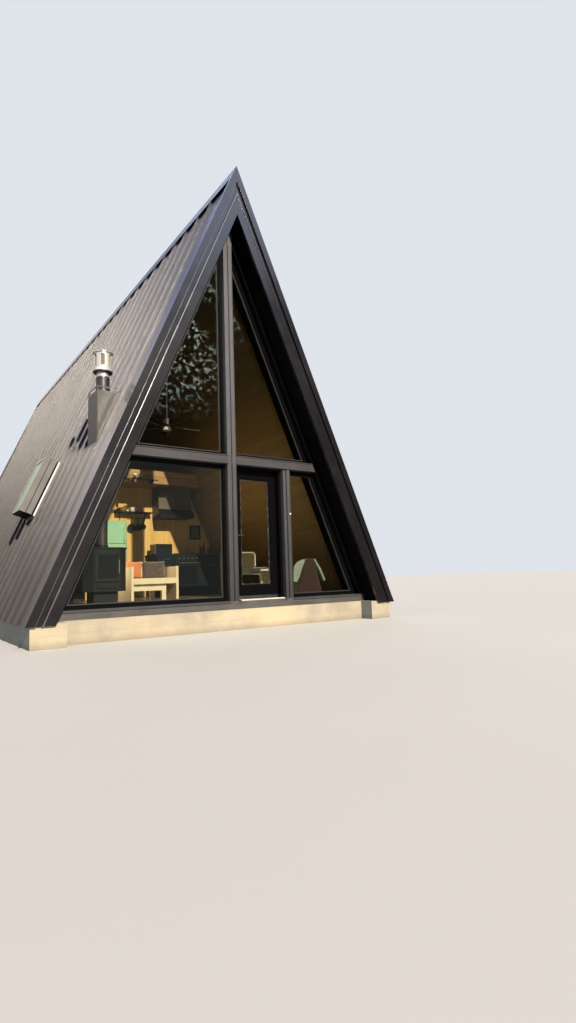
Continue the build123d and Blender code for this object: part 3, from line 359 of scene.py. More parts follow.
def bright_steel(name, color=(0.78, 0.77, 0.75), roughness=0.22, metallic=1.0):
    """Rolled stainless sheet, brushed round the pipe, with faint smudges."""
    look = Look(name, color, roughness, metallic)
    smudge = look.noise(9.0, 4.0, 0.6)
    look.roughness(look.plus(look.times(smudge, 0.22), roughness - 0.08))
    look.color(look.mix(look.spread(smudge, 0.5, 0.75), color, (0.58, 0.54, 0.47)))
    look.bump(look.noise(1.0, 4.0, 0.6, look.stretch((6.0, 6.0, 260.0))), 0.0002)


def matt_iron(name, color, lift, roughness=0.55, specular=0.5):
    look = Look(name, color, roughness, 0.0, specular)
    haze = look.noise(4.0, 4.0, 0.6)
    look.color(look.mix(look.spread(haze, 0.4, 0.75), color, lift))
    look.roughness(look.plus(look.times(haze, 0.2), roughness - 0.1))
    look.bump(look.noise(140.0, 4.0, 0.6), 0.0004)


def plain_paint(name, color, roughness=0.4, coat=0.0, speckle=0.06, specular=0.5):
    look = Look(name, color, roughness, 0.0, specular, coat, 0.08)
    haze = look.noise(6.0, 4.0, 0.55)
    look.color(look.mix(look.spread(haze, 0.35, 0.7), color, scaled(color, 1.0 - 2 * speckle)))
    look.roughness(look.plus(look.times(haze, 0.12), roughness - 0.06))
    look.bump(look.noise(220.0, 2.0, 0.5), 0.00015)


def woven(name, warp, weft, scale=170.0, motif=False):
    """Woven cover: crossing threads in relief, with a plain checked motif where asked."""
    look = Look(name, warp, 0.9, 0.0, 0.2)
    look.set("Sheen Weight", 0.4)
    spot = look.parts()
    threads = look.math("SINE", look.times(look.plus(spot["Y"], spot["X"]), scale * 6))
    weave = look.times(threads, look.math("SINE", look.times(spot["Z"], scale * 6)))
    shade = look.mix(look.spread(weave, -1.0, 1.0), warp, weft)
    if motif:
        dot = look.cells(26.0, 0.38, 0.46, distance="MANHATTAN")
        shade = look.mix(look.times(dot, 0.6), shade, (0.3, 0.2, 0.15))
    look.color(look.mix(look.spread(look.noise(8.0, 3.0, 0.5), 0.4, 0.7, 0.0, 0.3), shade, weft))
    look.bump(weave, 0.0008)


def window_casing(name):
    """The roof window's metal, with painted shade: dark in the groove under the skirt, a dark foot, and
    black where it faces down.
    """
    base = (0.135, 0.127, 0.122)
    look = Look(name, base, 0.3)
    height = look.above_slope()
    # Painted shade: the groove line, the band along the foot and the faces that look down are painted near
    # black and lose most of their gloss.
    groove = look.spread(look.math("ABSOLUTE", look.minus(height, 0.168)), 0.004, 0.008, 1.0, 0.0)
    foot = look.times(look.spread(height, 0.06, 0.078, 1.0, 0.0), look.spread(height, 0.008, 0.014))
    normal = look.node("NewGeometry").outputs["True Normal"]
    under = look.spread(look.parts(normal)["Z"], -0.5, -0.8)
    dark = look.math("MAXIMUM", look.math("MAXIMUM", foot, groove), under)
    dust = look.spread(look.noise(3.0, 3.0, 0.5), 0.35, 0.7)
    look.color(look.mix(dark, look.mix(dust, base, (0.18, 0.168, 0.162)), (0.003, 0.003, 0.003)))
    look.set("Specular IOR Level", look.spread(dark, 0.0, 1.0, 0.5, 0.03))


def fan_finish(name):
    """Dark blades and motor, and a pale lamp bowl at the foot."""
    look = Look(name, (0.01, 0.0075, 0.006), 0.8, 0.0, 0.04)
    bowl_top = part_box("fan_rotor")[0].z + 0.06
    pale = look.spread(look.parts()["Z"], bowl_top - 0.001, bowl_top, 1.0, 0.0)
    figure, fibre = look.grain(0)
    dark = look.mix(look.spread(figure, 0.35, 0.7), (0.007, 0.0055, 0.0045), (0.015, 0.011, 0.008))
    look.color(look.mix(pale, dark, (0.62, 0.6, 0.55)))
    look.bump(fibre, 0.0003)


# Name, colour, dusty colour, roughness, run of the streaks, specular, coat, roughness of the ribs
for name, *values in (
    ("roof_metal", (0.019, 0.016, 0.0165), (0.035, 0.03, 0.0305), 0.25, (1.0, 2.2, 0.35), 0.7, 0.0, 0.39),
    ("ridge_metal", (0.018, 0.0155, 0.0155), (0.032, 0.028, 0.028), 0.28),
    ("trim_metal", (0.008, 0.007, 0.0085), (0.014, 0.012, 0.014), 0.22, EVEN, 0.65, 0.0),
    # Painted highlight: the left rake's beads are a paler metal than the trims, as if catching the sun.
    ("bead_metal", (0.06, 0.056, 0.06), (0.09, 0.085, 0.088), 0.26, EVEN, 1.0, 0.6),
    ("chase_metal", (0.024, 0.025, 0.021), (0.05, 0.046, 0.036), 0.34, EVEN, 0.5, 0.0),
    ("siding_metal", (0.03, 0.027, 0.028), (0.05, 0.045, 0.044), 0.42),
):
    coated_metal(name, *values)

# Name, colour and worn colour, axis of the grain, roughness, boards, specular, share of light left at the
# foot by painted shade
# Black paint made darker still as painted shade, for the soffit and the slanted boards.
SHADED_BLACK = (0.0018, 0.0018, 0.0024), (0.0034, 0.0032, 0.004)
for name, (color, lift), *values in (
    ("post_paint", ((0.078, 0.08, 0.09), (0.108, 0.108, 0.116)), 2, 0.5, None, 0.3, 0.42),
    ("strip_paint", ((0.05, 0.047, 0.046), (0.072, 0.067, 0.064)), 2, 0.5, None, 0.3, 0.42),
    ("transom_paint", ((0.04, 0.039, 0.043), (0.062, 0.06, 0.062)), 0, 0.5, None, 0.3),
    ("sill_paint", ((0.055, 0.052, 0.05), (0.1, 0.094, 0.086)), 0),
    ("soffit_paint", SHADED_BLACK, 1, 0.7, ("slope", 0.14), 0.04),
    ("slant_paint", SHADED_BLACK, 2, 0.7, None, 0.04),
    ("wall_cabinet", ((0.1, 0.076, 0.055), (0.14, 0.108, 0.08)), 0, 0.45),
    ("sofa_wood", ((0.66, 0.53, 0.33), (0.76, 0.63, 0.42)), 1, 0.4),
    ("table_wood", ((0.6, 0.52, 0.38), (0.74, 0.66, 0.5)), 0, 0.42),
    ("fan_wood", ((0.022, 0.016, 0.013), (0.04, 0.03, 0.024)), 0, 0.4),
    ("arm_wood", ((0.2, 0.23, 0.18), (0.28, 0.31, 0.25)), 2, 0.4),
):
    painted_wood(name, color, lift, *values)

# Name, dark and pale tone, way and pitch of the boards, axis of the grain, roughness, spread of the tones,
# gap, knots, share of light left at the foot by painted shade
for name, *values in (
    ("lining_wood", (0.2, 0.108, 0.036), (0.3, 0.175, 0.066), "slope", 0.14, 1, 0.45, 0.12, 0.008, False,
     0.24),
    ("partition_wood", (0.6, 0.34, 0.085), (0.78, 0.48, 0.15), "X", 0.15, 2, 0.4, 0.2, 0.012, False),
    ("floor_wood", (0.16, 0.095, 0.052), (0.34, 0.22, 0.13), "X", 0.13, 1, 0.3),
    ("loft_wood", (0.26, 0.125, 0.035), (0.48, 0.27, 0.095), "Z", 0.3, 0, 0.42),
):
    board_wood(name, *values)

# Name, colour, roughness, coat, speckle, specular
for name, *values in (
    ("frame_black", (0.004, 0.004, 0.0045), 0.18, 0.0, 0.06, 0.16),
    ("door_black", (0.0035, 0.0033, 0.004), 0.17, 0.0, 0.06, 0.16),
    ("rubber", (0.006, 0.006, 0.006), 0.7),
    ("enamel", (0.34, 0.58, 0.36), 0.18, 0.6, 0.03),
    ("cabinet_paint", (0.005, 0.01, 0.016), 0.4, 0.0, 0.06, 0.2),
    ("counter_stone", (0.03, 0.036, 0.04), 0.3, 0.0, 0.06, 0.4),
    ("bell_white", (0.75, 0.74, 0.7), 0.3, 0.3),
    ("bowl_glaze", (0.55, 0.3, 0.12), 0.3, 0.3),
    ("picture_card", (0.11, 0.1, 0.09), 0.6),
    ("dark_glass", (0.006, 0.006, 0.007), 0.05, 0.5),
):
    plain_paint(name, *values)

# Name, colour, hazy colour, roughness, specular
for name, *values in (
    ("spacer_dark", (0.03, 0.03, 0.03), (0.05, 0.05, 0.05), 0.5),
    ("hardware", (0.02, 0.02, 0.021), (0.04, 0.04, 0.04), 0.38),
    ("flue_black", (0.03, 0.025, 0.025), (0.05, 0.044, 0.042), 0.38),
    ("stove_iron", (0.011, 0.012, 0.0105), (0.018, 0.019, 0.017), 0.5, 0.15),
    ("kitchen_black", (0.006, 0.007, 0.008), (0.012, 0.013, 0.014), 0.4, 0.2),
    ("screen_mesh", (0.2, 0.17, 0.13), (0.28, 0.24, 0.19), 0.6),
):
    matt_iron(name, *values)

bright_steel("steel")
bright_steel("spacer_metal", (0.1, 0.1, 0.1), 0.4)
bright_steel("cap_steel", (0.62, 0.6, 0.57), 0.34, 0.45)
bright_steel("flashing", (0.55, 0.54, 0.52), 0.5)
bright_steel("threshold_metal", (0.7, 0.64, 0.58), 0.45, 0.35)
clear_glass("pane_glass", (0.93, 0.95, 0.93), (0.62, 0.68, 0.66))
# The roof window's panes: the green tint on what they mirror is a painted reflection of trees, and what
# shows through is tinted green too.
clear_glass("roof_glass", (0.45, 0.58, 0.47), (0.62, 0.8, 0.6))
woven("orange_cloth", (0.55, 0.15, 0.045), (0.66, 0.22, 0.08))
woven("brown_cloth", (0.055, 0.036, 0.032), (0.11, 0.07, 0.055), 150.0, True)
woven("tan_cloth", (0.045, 0.029, 0.014), (0.075, 0.051, 0.027), 120.0)
woven("tub_cloth", (0.022, 0.0065, 0.0045), (0.036, 0.011, 0.0075), 140.0)
concrete("concrete")
window_casing("window_casing")
fan_finish("fan_finish")

# Each node takes the look of its slot in the record, which has the slot's own name unless it is given here
SLOT_LOOKS = {
    "dark_board": "sill_paint", "black_board": "soffit_paint", "glass": "pane_glass", "steel": "cap_steel",
    "iron": "stove_iron", "fan_dark": "fan_wood", "wall_siding": "siding_metal",
    "wall_cabinet_paint": "wall_cabinet", "cushion_fabric": "brown_cloth", "armchair_fabric": "tan_cloth",
    "tub_fabric": "tub_cloth",
}
NODE_LOOKS = {
    "ridge_cap": "ridge_metal", "transom": "transom_paint", "slant_board_left": "slant_paint",
    "slant_board_right": "slant_paint", "door_frame": "door_black", "door_leaf": "door_black",
    "roof_window_frame": "window_casing", "roof_window_sash": "window_casing",
    "roof_window_glass": "roof_glass", "loft_floor": "loft_wood", "fan_rotor": "fan_finish",
}
for part in frame["record"]["subparts"]:
    node, slot = part["node"], part["material_slot"]
    finish = frame["nodes"][node].data.materials
    finish.clear()
    finish.append(LOOKS[NODE_LOOKS.get(node) or SLOT_LOOKS.get(slot, slot)])

# The record's slot for the looks of the fine pieces whose name isn't a slot
SLOTS = {
    "door_black": "frame_black", "rubber": "frame_black", "spacer_dark": "frame_black",
    "spacer_metal": "frame_black", "ridge_metal": "roof_metal", "bead_metal": "trim_metal",
    "siding_metal": "wall_siding", "screen_mesh": "steel", "flashing": "steel", "strip_paint": "post_paint",
    "transom_paint": "post_paint", "stove_iron": "iron", "kitchen_black": "hardware",
    "dark_glass": "hardware", "counter_stone": "cabinet_paint", "wall_cabinet": "wall_cabinet_paint",
    "sofa_wood": "table_wood", "arm_wood": "table_wood", "orange_cloth": "cushion_fabric",
    "brown_cloth": "cushion_fabric", "bell_white": None, "bowl_glaze": None, "picture_card": None,
}


# Shape helpers
class Shape:
    """Vertices and faces gathered in one frame at a time. A frame is an origin and three unit axes."""

    def __init__(self, gable_y=None, facing=-1):
        self.points = []
        self.faces = []
        if gable_y is None:
            self.use((0, 0, 0), (1, 0, 0), (0, 1, 0), (0, 0, 1))
        else:
            self.gable(gable_y, facing)

    def use(self, origin, u, v, w):
        self.origin, self.u, self.v, self.w = Vector(origin), Vector(u), Vector(v), Vector(w)
        return self

    def gable(self, y, facing=-1):
        """u along +X, v up, w out of a gable that faces -Y or +Y."""
        return self.use((0, y, 0), (1, 0, 0), (0, 0, 1), (0, facing, 0))

    def slope(self, side, inset):
        """u along the ridge, v down the slope, w outward, on a line inset below the seam tops."""
        out = Vector((side * math.sin(SLOPE), 0, math.cos(SLOPE)))
        down = Vector((side * math.cos(SLOPE), 0, -math.sin(SLOPE)))
        return self.use(Vector((0, 0, APEX_Z)) - out * inset, (0, 1, 0), down, out)

    def at(self, a, b, c):
        return self.origin + self.u * a + self.v * b + self.w * c

    def add(self, points, faces):
        start = len(self.points)
        self.points += [self.at(*p) for p in points]
        self.faces += [tuple(start + i for i in f) for f in faces]
        return self

    def box(self, low, high):
        (a, b, c), (d, e, f) = low, high
        corners = [(x, y, z) for z in (c, f) for y in (b, e) for x in (a, d)]
        faces = [(0, 2, 3, 1), (4, 5, 7, 6), (0, 1, 5, 4), (2, 6, 7, 3), (0, 4, 6, 2), (1, 3, 7, 5)]
        return self.add(corners, faces)

    def block(self, near, far):
        """Six faces between four corners and the four across from them."""
        faces = [(0, 1, 2, 3), (7, 6, 5, 4), (0, 4, 5, 1), (1, 5, 6, 2), (2, 6, 7, 3), (3, 7, 4, 0)]
        return self.add(near + far, faces)

    def skin(self, near, far):
        """A closed form between two outlines of equal count."""
        count = len(near)
        sides = [(i, (i + 1) % count, count + (i + 1) % count, count + i) for i in range(count)]
        return self.add(near + far, [tuple(reversed(range(count))), tuple(range(count, 2 * count))] + sides)

    def prism(self, outline, low, high):
        """A closed outline in u and v, from low to high along w."""
        return self.skin([(a, b, low) for a, b in outline], [(a, b, high) for a, b in outline])

    def frame_ring(self, outer, inner, low, high):
        """A flat frame between two outlines of equal count, from low to high along w."""
        count = len(outer)
        points = [(a, b, c) for c in (low, high) for line in (outer, inner) for a, b in line]
        faces = []
        for i in range(count):
            j = (i + 1) % count
            faces.append((i, count + i, count + j, j))
            faces.append((2 * count + i, 2 * count + j, 3 * count + j, 3 * count + i))
            faces.append((i, j, 2 * count + j, 2 * count + i))
            faces.append((count + i, 3 * count + i, 3 * count + j, count + j))
        return self.add(points, faces)

    def turned(self, profile, sides, center, up=0.0):
        """A profile of radius and height over up, turned about w at a centre. Radius 0 closes it."""
        rings = []
        for radius, height in profile:
            start = len(self.points)
            for i in range(sides if radius else 1):
                angle = 2 * math.pi * i / sides
                a, b = center[0] + radius * math.cos(angle), center[1] + radius * math.sin(angle)
                self.points.append(self.at(a, b, up + height))
            rings.append(range(start, len(self.points)))
        for one, two in zip(rings, rings[1:]):
            for i in range(sides):
                j = (i + 1) % sides
                corners = [one[i % len(one)], one[j % len(one)], two[j % len(two)], two[i % len(two)]]
                face = tuple(dict.fromkeys(corners))
                if len(face) > 2:
                    self.faces.append(face)
        return self

    def screw(self, u, v, w, size=0.006):
        """A washer and a six-sided head."""
        seat = 0.0015
        self.turned(((0.0, seat), (size * 1.5, seat), (size * 1.6, 0.0), (0.0, 0.0)), 12, (u, v), w)
        self.turned(((0.0, size), (size * 0.8, size), (size * 0.9, seat), (0.0, seat)), 6, (u, v), w)


def show(name, data):
    obj = bpy.data.objects.new(name, data)
    bpy.context.scene.collection.objects.link(obj)
    return obj


def piece(name, shape, look, body="cabin", bevel=0.0, smooth=False, slot=None):
    """A mesh object from a shape, with outward faces, that rides on a body."""
    mesh = bpy.data.meshes.new(name)
    mesh.from_pydata([tuple(p) for p in shape.points], [], shape.faces)
    mesh.validate()
    mesh.materials.append(LOOKS[look])
    obj = show(name, mesh)
    bpy.context.view_layer.objects.active = obj
    for other in bpy.context.selected_objects:
        other.select_set(False)
    obj.select_set(True)
    bpy.ops.object.mode_set(mode="EDIT")
    bpy.ops.mesh.select_all(action="SELECT")
    bpy.ops.mesh.normals_make_consistent(inside=False)
    bpy.ops.object.mode_set(mode="OBJECT")
    if smooth:
        for face in mesh.polygons:
            face.use_smooth = True
        mesh.set_sharp_from_angle(angle=math.radians(35))
    if bevel:
        round_over = obj.modifiers.new("round_over", "BEVEL")
        round_over.width = bevel
        round_over.segments = 2
        round_over.limit_method = "ANGLE"
    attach(obj, body)
    slot = slot or SLOTS.get(look, look)
    return obj


def rectangle(low, high):
    return [(low[0], low[1]), (high[0], low[1]), (high[0], high[1]), (low[0], high[1])]


def shrink(outline, distance):
    """A convex outline, moved in by a distance on every side."""
    ends = list(zip(outline, outline[1:] + outline[:1]))
    turn = 1.0 if sum(a[0] * b[1] - b[0] * a[1] for a, b in ends) > 0 else -1.0
    lines = []
    for a, b in ends:
        along = (Vector(b) - Vector(a)).normalized()
        lines.append((Vector(a) + Vector((-along.y, along.x)) * distance * turn, along))
    moved = []
    for i, (q, e) in enumerate(lines):
        p, d = lines[i - 1]
        step = ((q - p).x * e.y - (q - p).y * e.x) / (d.x * e.y - d.y * e.x)
        moved.append(tuple(p + d * step))
    return moved


# Glazing: beads in front of and behind each pane, and the spacer bars inside it
BEAD = 0.014
BEAD_DEPTH = 0.016
BACK_BEAD_DEPTH = 0.01
DOOR_BEAD_DEPTH = 0.0125
GASKET = 0.004
SPACER = 0.011
PANE_SKIN = 0.005


def upper_window(side):
    return [(side * HALF_POST, TRANSOM_TOP), (side * slope_x(TRANSOM_TOP, WINDOW_INSET), TRANSOM_TOP),
            (side * HALF_POST, slope_z(HALF_POST, WINDOW_INSET))]


def lower_window(side, inner_x):
    return [(side * inner_x, FLOOR_Z), (side * slope_x(FLOOR_Z, WINDOW_INSET), FLOOR_Z),
            (side * slope_x(TRANSOM_Z, WINDOW_INSET), TRANSOM_Z), (side * inner_x, TRANSOM_Z)]


def glaze(groups, y, facing, outline, thickness=GLASS_THICKNESS, bead_depth=BEAD_DEPTH):
    """Adds the rings round one pane to its beads, gaskets and spacers. The pane's outer face is at y."""
    beads, gaskets, spacers = (group.gable(y, facing) for group in groups)
    edge, seal = shrink(outline, BEAD), shrink(outline, BEAD + GASKET)
    beads.frame_ring(outline, edge, 0.0005, bead_depth)
    beads.frame_ring(outline, edge, -thickness - bead_depth, -thickness - 0.0005)
    gaskets.frame_ring(edge, seal, 0.0004, 0.0035)
    gaskets.frame_ring(edge, seal, -thickness - 0.0035, -thickness - 0.0004)
    spacers.frame_ring(outline, shrink(outline, BEAD + GASKET + SPACER), PANE_SKIN - thickness, -PANE_SKIN)


def make_glazing():
    window, door = [Shape(), Shape(), Shape()], [Shape(), Shape(), Shape()]
    for outline in (upper_window(-1), upper_window(1), lower_window(-1, HALF_POST),
                    lower_window(1, door_post_high.x)):
        glaze(window, GABLE_Y + WINDOW_SETBACK + GLASS_SETBACK, -1, shrink(outline, FRAME_WIDTH))
    back_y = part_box("back_window_glass")[1].y
    for width, sill, height in BACK_WINDOWS:
        outline = shrink(rectangle((-width / 2, sill), (width / 2, sill + height)), FRAME_WIDTH)
        glaze(window, back_y, 1, outline, bead_depth=BACK_BEAD_DEPTH)
    low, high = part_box("door_glass")
    glaze(door, low.y, -1, rectangle((low.x, low.z), (high.x, high.z)), high.y - low.y, DOOR_BEAD_DEPTH)
    for prefix, body, shapes, looks in (
        ("window", "cabin", window, ("frame_black", "rubber", "spacer_dark")),
        ("door", "door", door, ("door_black", "rubber", "spacer_metal")),
    ):
        piece(prefix + "_beads", shapes[0], looks[0], body, 0.002)
        piece(prefix + "_gaskets", shapes[1], looks[1], body)
        piece(prefix + "_spacers", shapes[2], looks[2], body)


make_glazing()


# Door: a lock over the handle, a moulding round the glass and a sweep at the foot
def make_door_details():
    low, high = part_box("door_leaf")
    glass_low, glass_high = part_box("door_glass")
    handle_low, handle_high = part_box("door_handle")
    lock_x, grip_z = Vector((low.x + 0.06, (handle_low.z + handle_high.z) / 2))
    outer, inner = (rectangle((glass_low.x - lap, glass_low.z - lap),
                              (glass_high.x + lap, glass_high.z + lap)) for lap in (0.03, 0.004))
    lock, moulding = Shape(), Shape()
    for y, facing in ((low.y, -1), (high.y, 1)):
        rose = ((0.0, 0.009), (0.018, 0.009), (0.024, 0.006), (0.025, 0.0), (0.0, 0.0))
        lock.gable(y, facing).turned(rose, 28, (lock_x, grip_z + 0.16))
        lock.box((lock_x - 0.002, grip_z + 0.152, 0.0085), (lock_x + 0.002, grip_z + 0.168, 0.0105))
        moulding.gable(y, facing).frame_ring(outer, inner, 0.0, 0.006)
    piece("door_lock", lock, "hardware", "door", 0.0006, True)
    piece("door_moulding", moulding, "door_black", "door", 0.003)
    sweep = Shape(low.y).box((low.x + 0.012, low.z + 0.001, 0.0), (high.x - 0.012, low.z + 0.042, 0.004))
    piece("door_sweep", sweep, "hardware", "door", 0.001)


def make_threshold_ribs():
    low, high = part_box("threshold")
    ribs = Shape()
    for i in range(9):
        y = low.y + 0.012 + i * 0.01
        ribs.box((low.x + 0.004, y, high.z), (high.x - 0.004, y + 0.005, high.z + 0.0022))
    piece("threshold_ribs", ribs, "threshold_metal", bevel=0.0008)


def make_bell():
    """The small round push button on the door post's right edge."""
    bell = Shape(GABLE_Y)
    place = (door_post_high.x - 0.016, FOUNDATION + 1.47)
    bell.turned(((0.0, 0.012), (0.01, 0.012), (0.0145, 0.009), (0.016, 0.0), (0.0, 0.0)), 24, place)
    bell.turned(((0.0, 0.0155), (0.005, 0.015), (0.0065, 0.0115), (0.0, 0.0115)), 20, place)
    piece("bell_push", bell, "bell_white", smooth=True)


make_door_details()
make_threshold_ribs()
make_bell()


# Flashings on the glazed gable
def clear_spans(start, end):
    """The stretches of start..end that the two posts leave free."""
    spans = [(start, end)]
    for low, high in ((post_low.x, post_high.x), (door_post_low.x, door_post_high.x)):
        cut = []
        for left, right in spans:
            if high <= left or low >= right:
                cut.append((left, right))
                continue
            if low > left:
                cut.append((left, low - 0.001))
            if high < right:
                cut.append((high + 0.001, right))
        spans = cut
    return spans


def make_sill_flashing():
    """Folded strip over the front edge of the sill, left and right of the doorway."""
    strip = Shape(GABLE_Y)
    door_low, door_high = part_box("threshold")
    foot = slope_x(FLOOR_Z, WINDOW_INSET) - 0.004
    for start, end in ((-foot, door_low.x - 0.001), (door_high.x + 0.001, foot)):
        for left, right in clear_spans(start, end):
            strip.box((left, FLOOR_Z + 0.0005, -WINDOW_SETBACK + 0.001), (right, FLOOR_Z + 0.003, 0.016))
            strip.box((left, FLOOR_Z - 0.028, 0.013), (right, FLOOR_Z + 0.0005, 0.016))
    piece("sill_flashing", strip, "transom_paint", bevel=0.001)


def make_post_strips():
    """Thin cover strips along the posts, which split their faces into three tones."""
    strips = Shape(GABLE_Y)
    under = (FLOOR_Z + 0.004, TRANSOM_Z - 0.002)
    over = (TRANSOM_TOP + 0.002, slope_z(HALF_POST, WINDOW_INSET) - 0.02)
    for edge, (start, end) in ((post_high.x, under), (post_high.x, over), (door_post_high.x, under)):
        for left, right in ((0.012, 0.001), (0.074, 0.062)):
            strips.box((edge - left, start, 0.0002), (edge - right, end, 0.004))
    piece("post_strips", strips, "strip_paint", bevel=0.0012)


make_sill_flashing()
make_post_strips()


# Roof: screws on the cap, and folded tabs at the eaves
def make_roof_fixings():
    seams = [(i - (SEAM_COUNT - 1) / 2) * SEAM_PITCH for i in range(SEAM_COUNT)]
    eave = (APEX_Z - RAKE_FOOT) / math.sin(SLOPE)
    heads, tabs = Shape(), Shape()
    for side in SIDES:
        heads.slope(side, 0.0)
        tabs.slope(side, SEAM_HEIGHT)
        for y in seams:
            for down in (0.055, 0.205):
                heads.screw(y, down, 0.0016)
            for left, right in ((y - 0.012, y - 0.0075), (y + 0.0075, y + 0.012)):
                tabs.box((left, eave - 0.075, 0.001), (right, eave - 0.052, SEAM_HEIGHT - 0.004))
    piece("ridge_screws", heads, "ridge_metal")
    piece("seam_tabs", tabs, "roof_metal", bevel=0.001)


make_roof_fixings()


# Rakes: a rolled edge on the step between the boards, and a finer one at the foot of the metal edge
BOARD_STEP_INSET = 0.18
BOARD_STEP_FACE = RAKE_FACE - 0.015
TRIM_FOOT_INSET = 0.101


def slope_strip(shape, side, facing, outline):
    """A moulding down one slope, mitred at the ridge plane and cut level at its foot.

    The outline is in Y, out of the gable from the origin, and outward from the seam tops.
    """
    shape.use((0, 0, APEX_Z), (0, facing, 0), (side * math.sin(SLOPE), 0, math.cos(SLOPE)),
              (side * math.cos(SLOPE), 0, -math.sin(SLOPE)))
    top = [(a, b, -b * math.tan(SLOPE)) for a, b in outline]
    foot = [(a, b, (APEX_Z - RAKE_FOOT + b * math.cos(SLOPE)) / math.sin(SLOPE)) for a, b in outline]
    shape.skin(top, foot)


def half_round(face, inset, radius, steps=8):
    turns = [math.pi * i / steps for i in range(steps + 1)]
    return [(face + radius * math.sin(turn), -inset + radius * math.cos(turn)) for turn in turns]


def make_rake_beads():
    """The left slope's beads take a paler metal as a painted highlight, and the right slope's stay dark."""
    for name, side, look in (("rake_beads_left", -1, "bead_metal"), ("rake_beads_right", 1, "trim_metal")):
        beads = Shape()
        for facing in (-1, 1):
            slope_strip(beads, side, facing, half_round(BOARD_STEP_FACE, BOARD_STEP_INSET, 0.011))
            slope_strip(beads, side, facing, half_round(RAKE_FACE, TRIM_FOOT_INSET - 0.003, 0.003))
        piece(name, beads, look, smooth=True)


make_rake_beads()


# Chimney: screens in the slots, bands on the pipe, hems on the chase
CAP_CORE = 0.1
CAP_COLLAR = 0.08
CAP_SLOT_HEIGHT = 0.185
CAP_SKIRT = 0.062
CAP_LID = 0.034
SCREEN_WIRES = 96
SCREEN_HOOPS = 16
ROUND = 48


def make_chimney_details():
    cap_low, cap_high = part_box("chimney_cap")
    pipe_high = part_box("flue_pipe")[1]
    chase_low, chase_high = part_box("chimney_chase")
    center = ((cap_low.x + cap_high.x) / 2, (cap_low.y + cap_high.y) / 2)
    base, lid = pipe_high.z + CAP_COLLAR, cap_high.z - CAP_LID
    middle = (base + CAP_SKIRT + lid) / 2
    slot_low, slot_high = middle - CAP_SLOT_HEIGHT / 2, middle + CAP_SLOT_HEIGHT / 2
    sleeve = CAP_CORE + 0.004
    screen = Shape().turned(((sleeve, slot_low + 0.002), (sleeve, slot_high - 0.002)), ROUND, center)
    for i in range(SCREEN_WIRES):
        angle = 2 * math.pi * i / SCREEN_WIRES
        x = center[0] + (CAP_CORE + 0.006) * math.cos(angle)
        y = center[1] + (CAP_CORE + 0.006) * math.sin(angle)
        screen.box((x - 0.0008, y - 0.0008, slot_low + 0.001), (x + 0.0008, y + 0.0008, slot_high - 0.001))
    inner, outer = CAP_CORE + 0.0055, CAP_CORE + 0.0075
    for i in range(SCREEN_HOOPS):
        hoop = ((inner, 0.0), (outer, 0.0008), (inner, 0.0016))
        screen.turned(hoop, ROUND, center, slot_low + 0.006 + i * 0.0115)
    piece("cap_screen", screen, "screen_mesh")
    bands = Shape()
    radius = (pipe_high.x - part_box("flue_pipe")[0].x) / 2
    for z, height, stand in ((pipe_high.z - 0.04, 0.028, 0.004), (chase_high.z + 0.01, 0.018, 0.006)):
        near, far = radius + 0.0003, radius + stand
        band = ((near, 0.0), (far, 0.003), (far, height - 0.003), (near, height))
        bands.turned(band, ROUND, center, z)
    piece("flue_bands", bands, "flue_black", smooth=True)
    lips = Shape()
    for z in (cap_low.z + 0.006, pipe_high.z + 0.068):
        lips.turned(((0.0882, 0.0), (0.0915, 0.003), (0.0915, 0.006), (0.0882, 0.009)), ROUND, center, z)
    lips.turned(((0.1432, 0.001), (0.1465, 0.002), (0.1465, 0.007), (0.1432, 0.009)), ROUND, center, lid)
    piece("cap_lips", lips, "steel", smooth=True)
    rim = (cap_high.x - cap_low.x) / 2
    # Painted shade: a thin dark ring under the cap and round the foot of its rim, where shade falls.
    foot = ((0.089, -0.0006), (rim + 0.0008, -0.0006), (rim + 0.0016, 0.004), (rim + 0.0008, 0.016))
    piece("cap_shade_ring", Shape().turned(foot, ROUND, center, base), "flue_black", smooth=True)
    hems = Shape()
    front, back, outer, top = chase_low.y + 0.07, chase_high.y - 0.07, -CHASE_OUTER, chase_high.z
    roof_x, roof_z = -slope_x(top, SEAM_HEIGHT), slope_z(outer, SEAM_HEIGHT)
    for y in (front - 0.0035, back + 0.0005):
        hems.box((outer - 0.003, y, top - 0.02), (roof_x - 0.02, y + 0.003, top + 0.002))
        hems.box((outer - 0.003, y, roof_z + 0.02), (outer + 0.016, y + 0.003, top - 0.02))
    hems.box((outer - 0.0035, front - 0.003, top - 0.02), (outer - 0.0005, back + 0.003, top + 0.002))
    piece("chase_hems", hems, "chase_metal", bevel=0.001)


make_chimney_details()


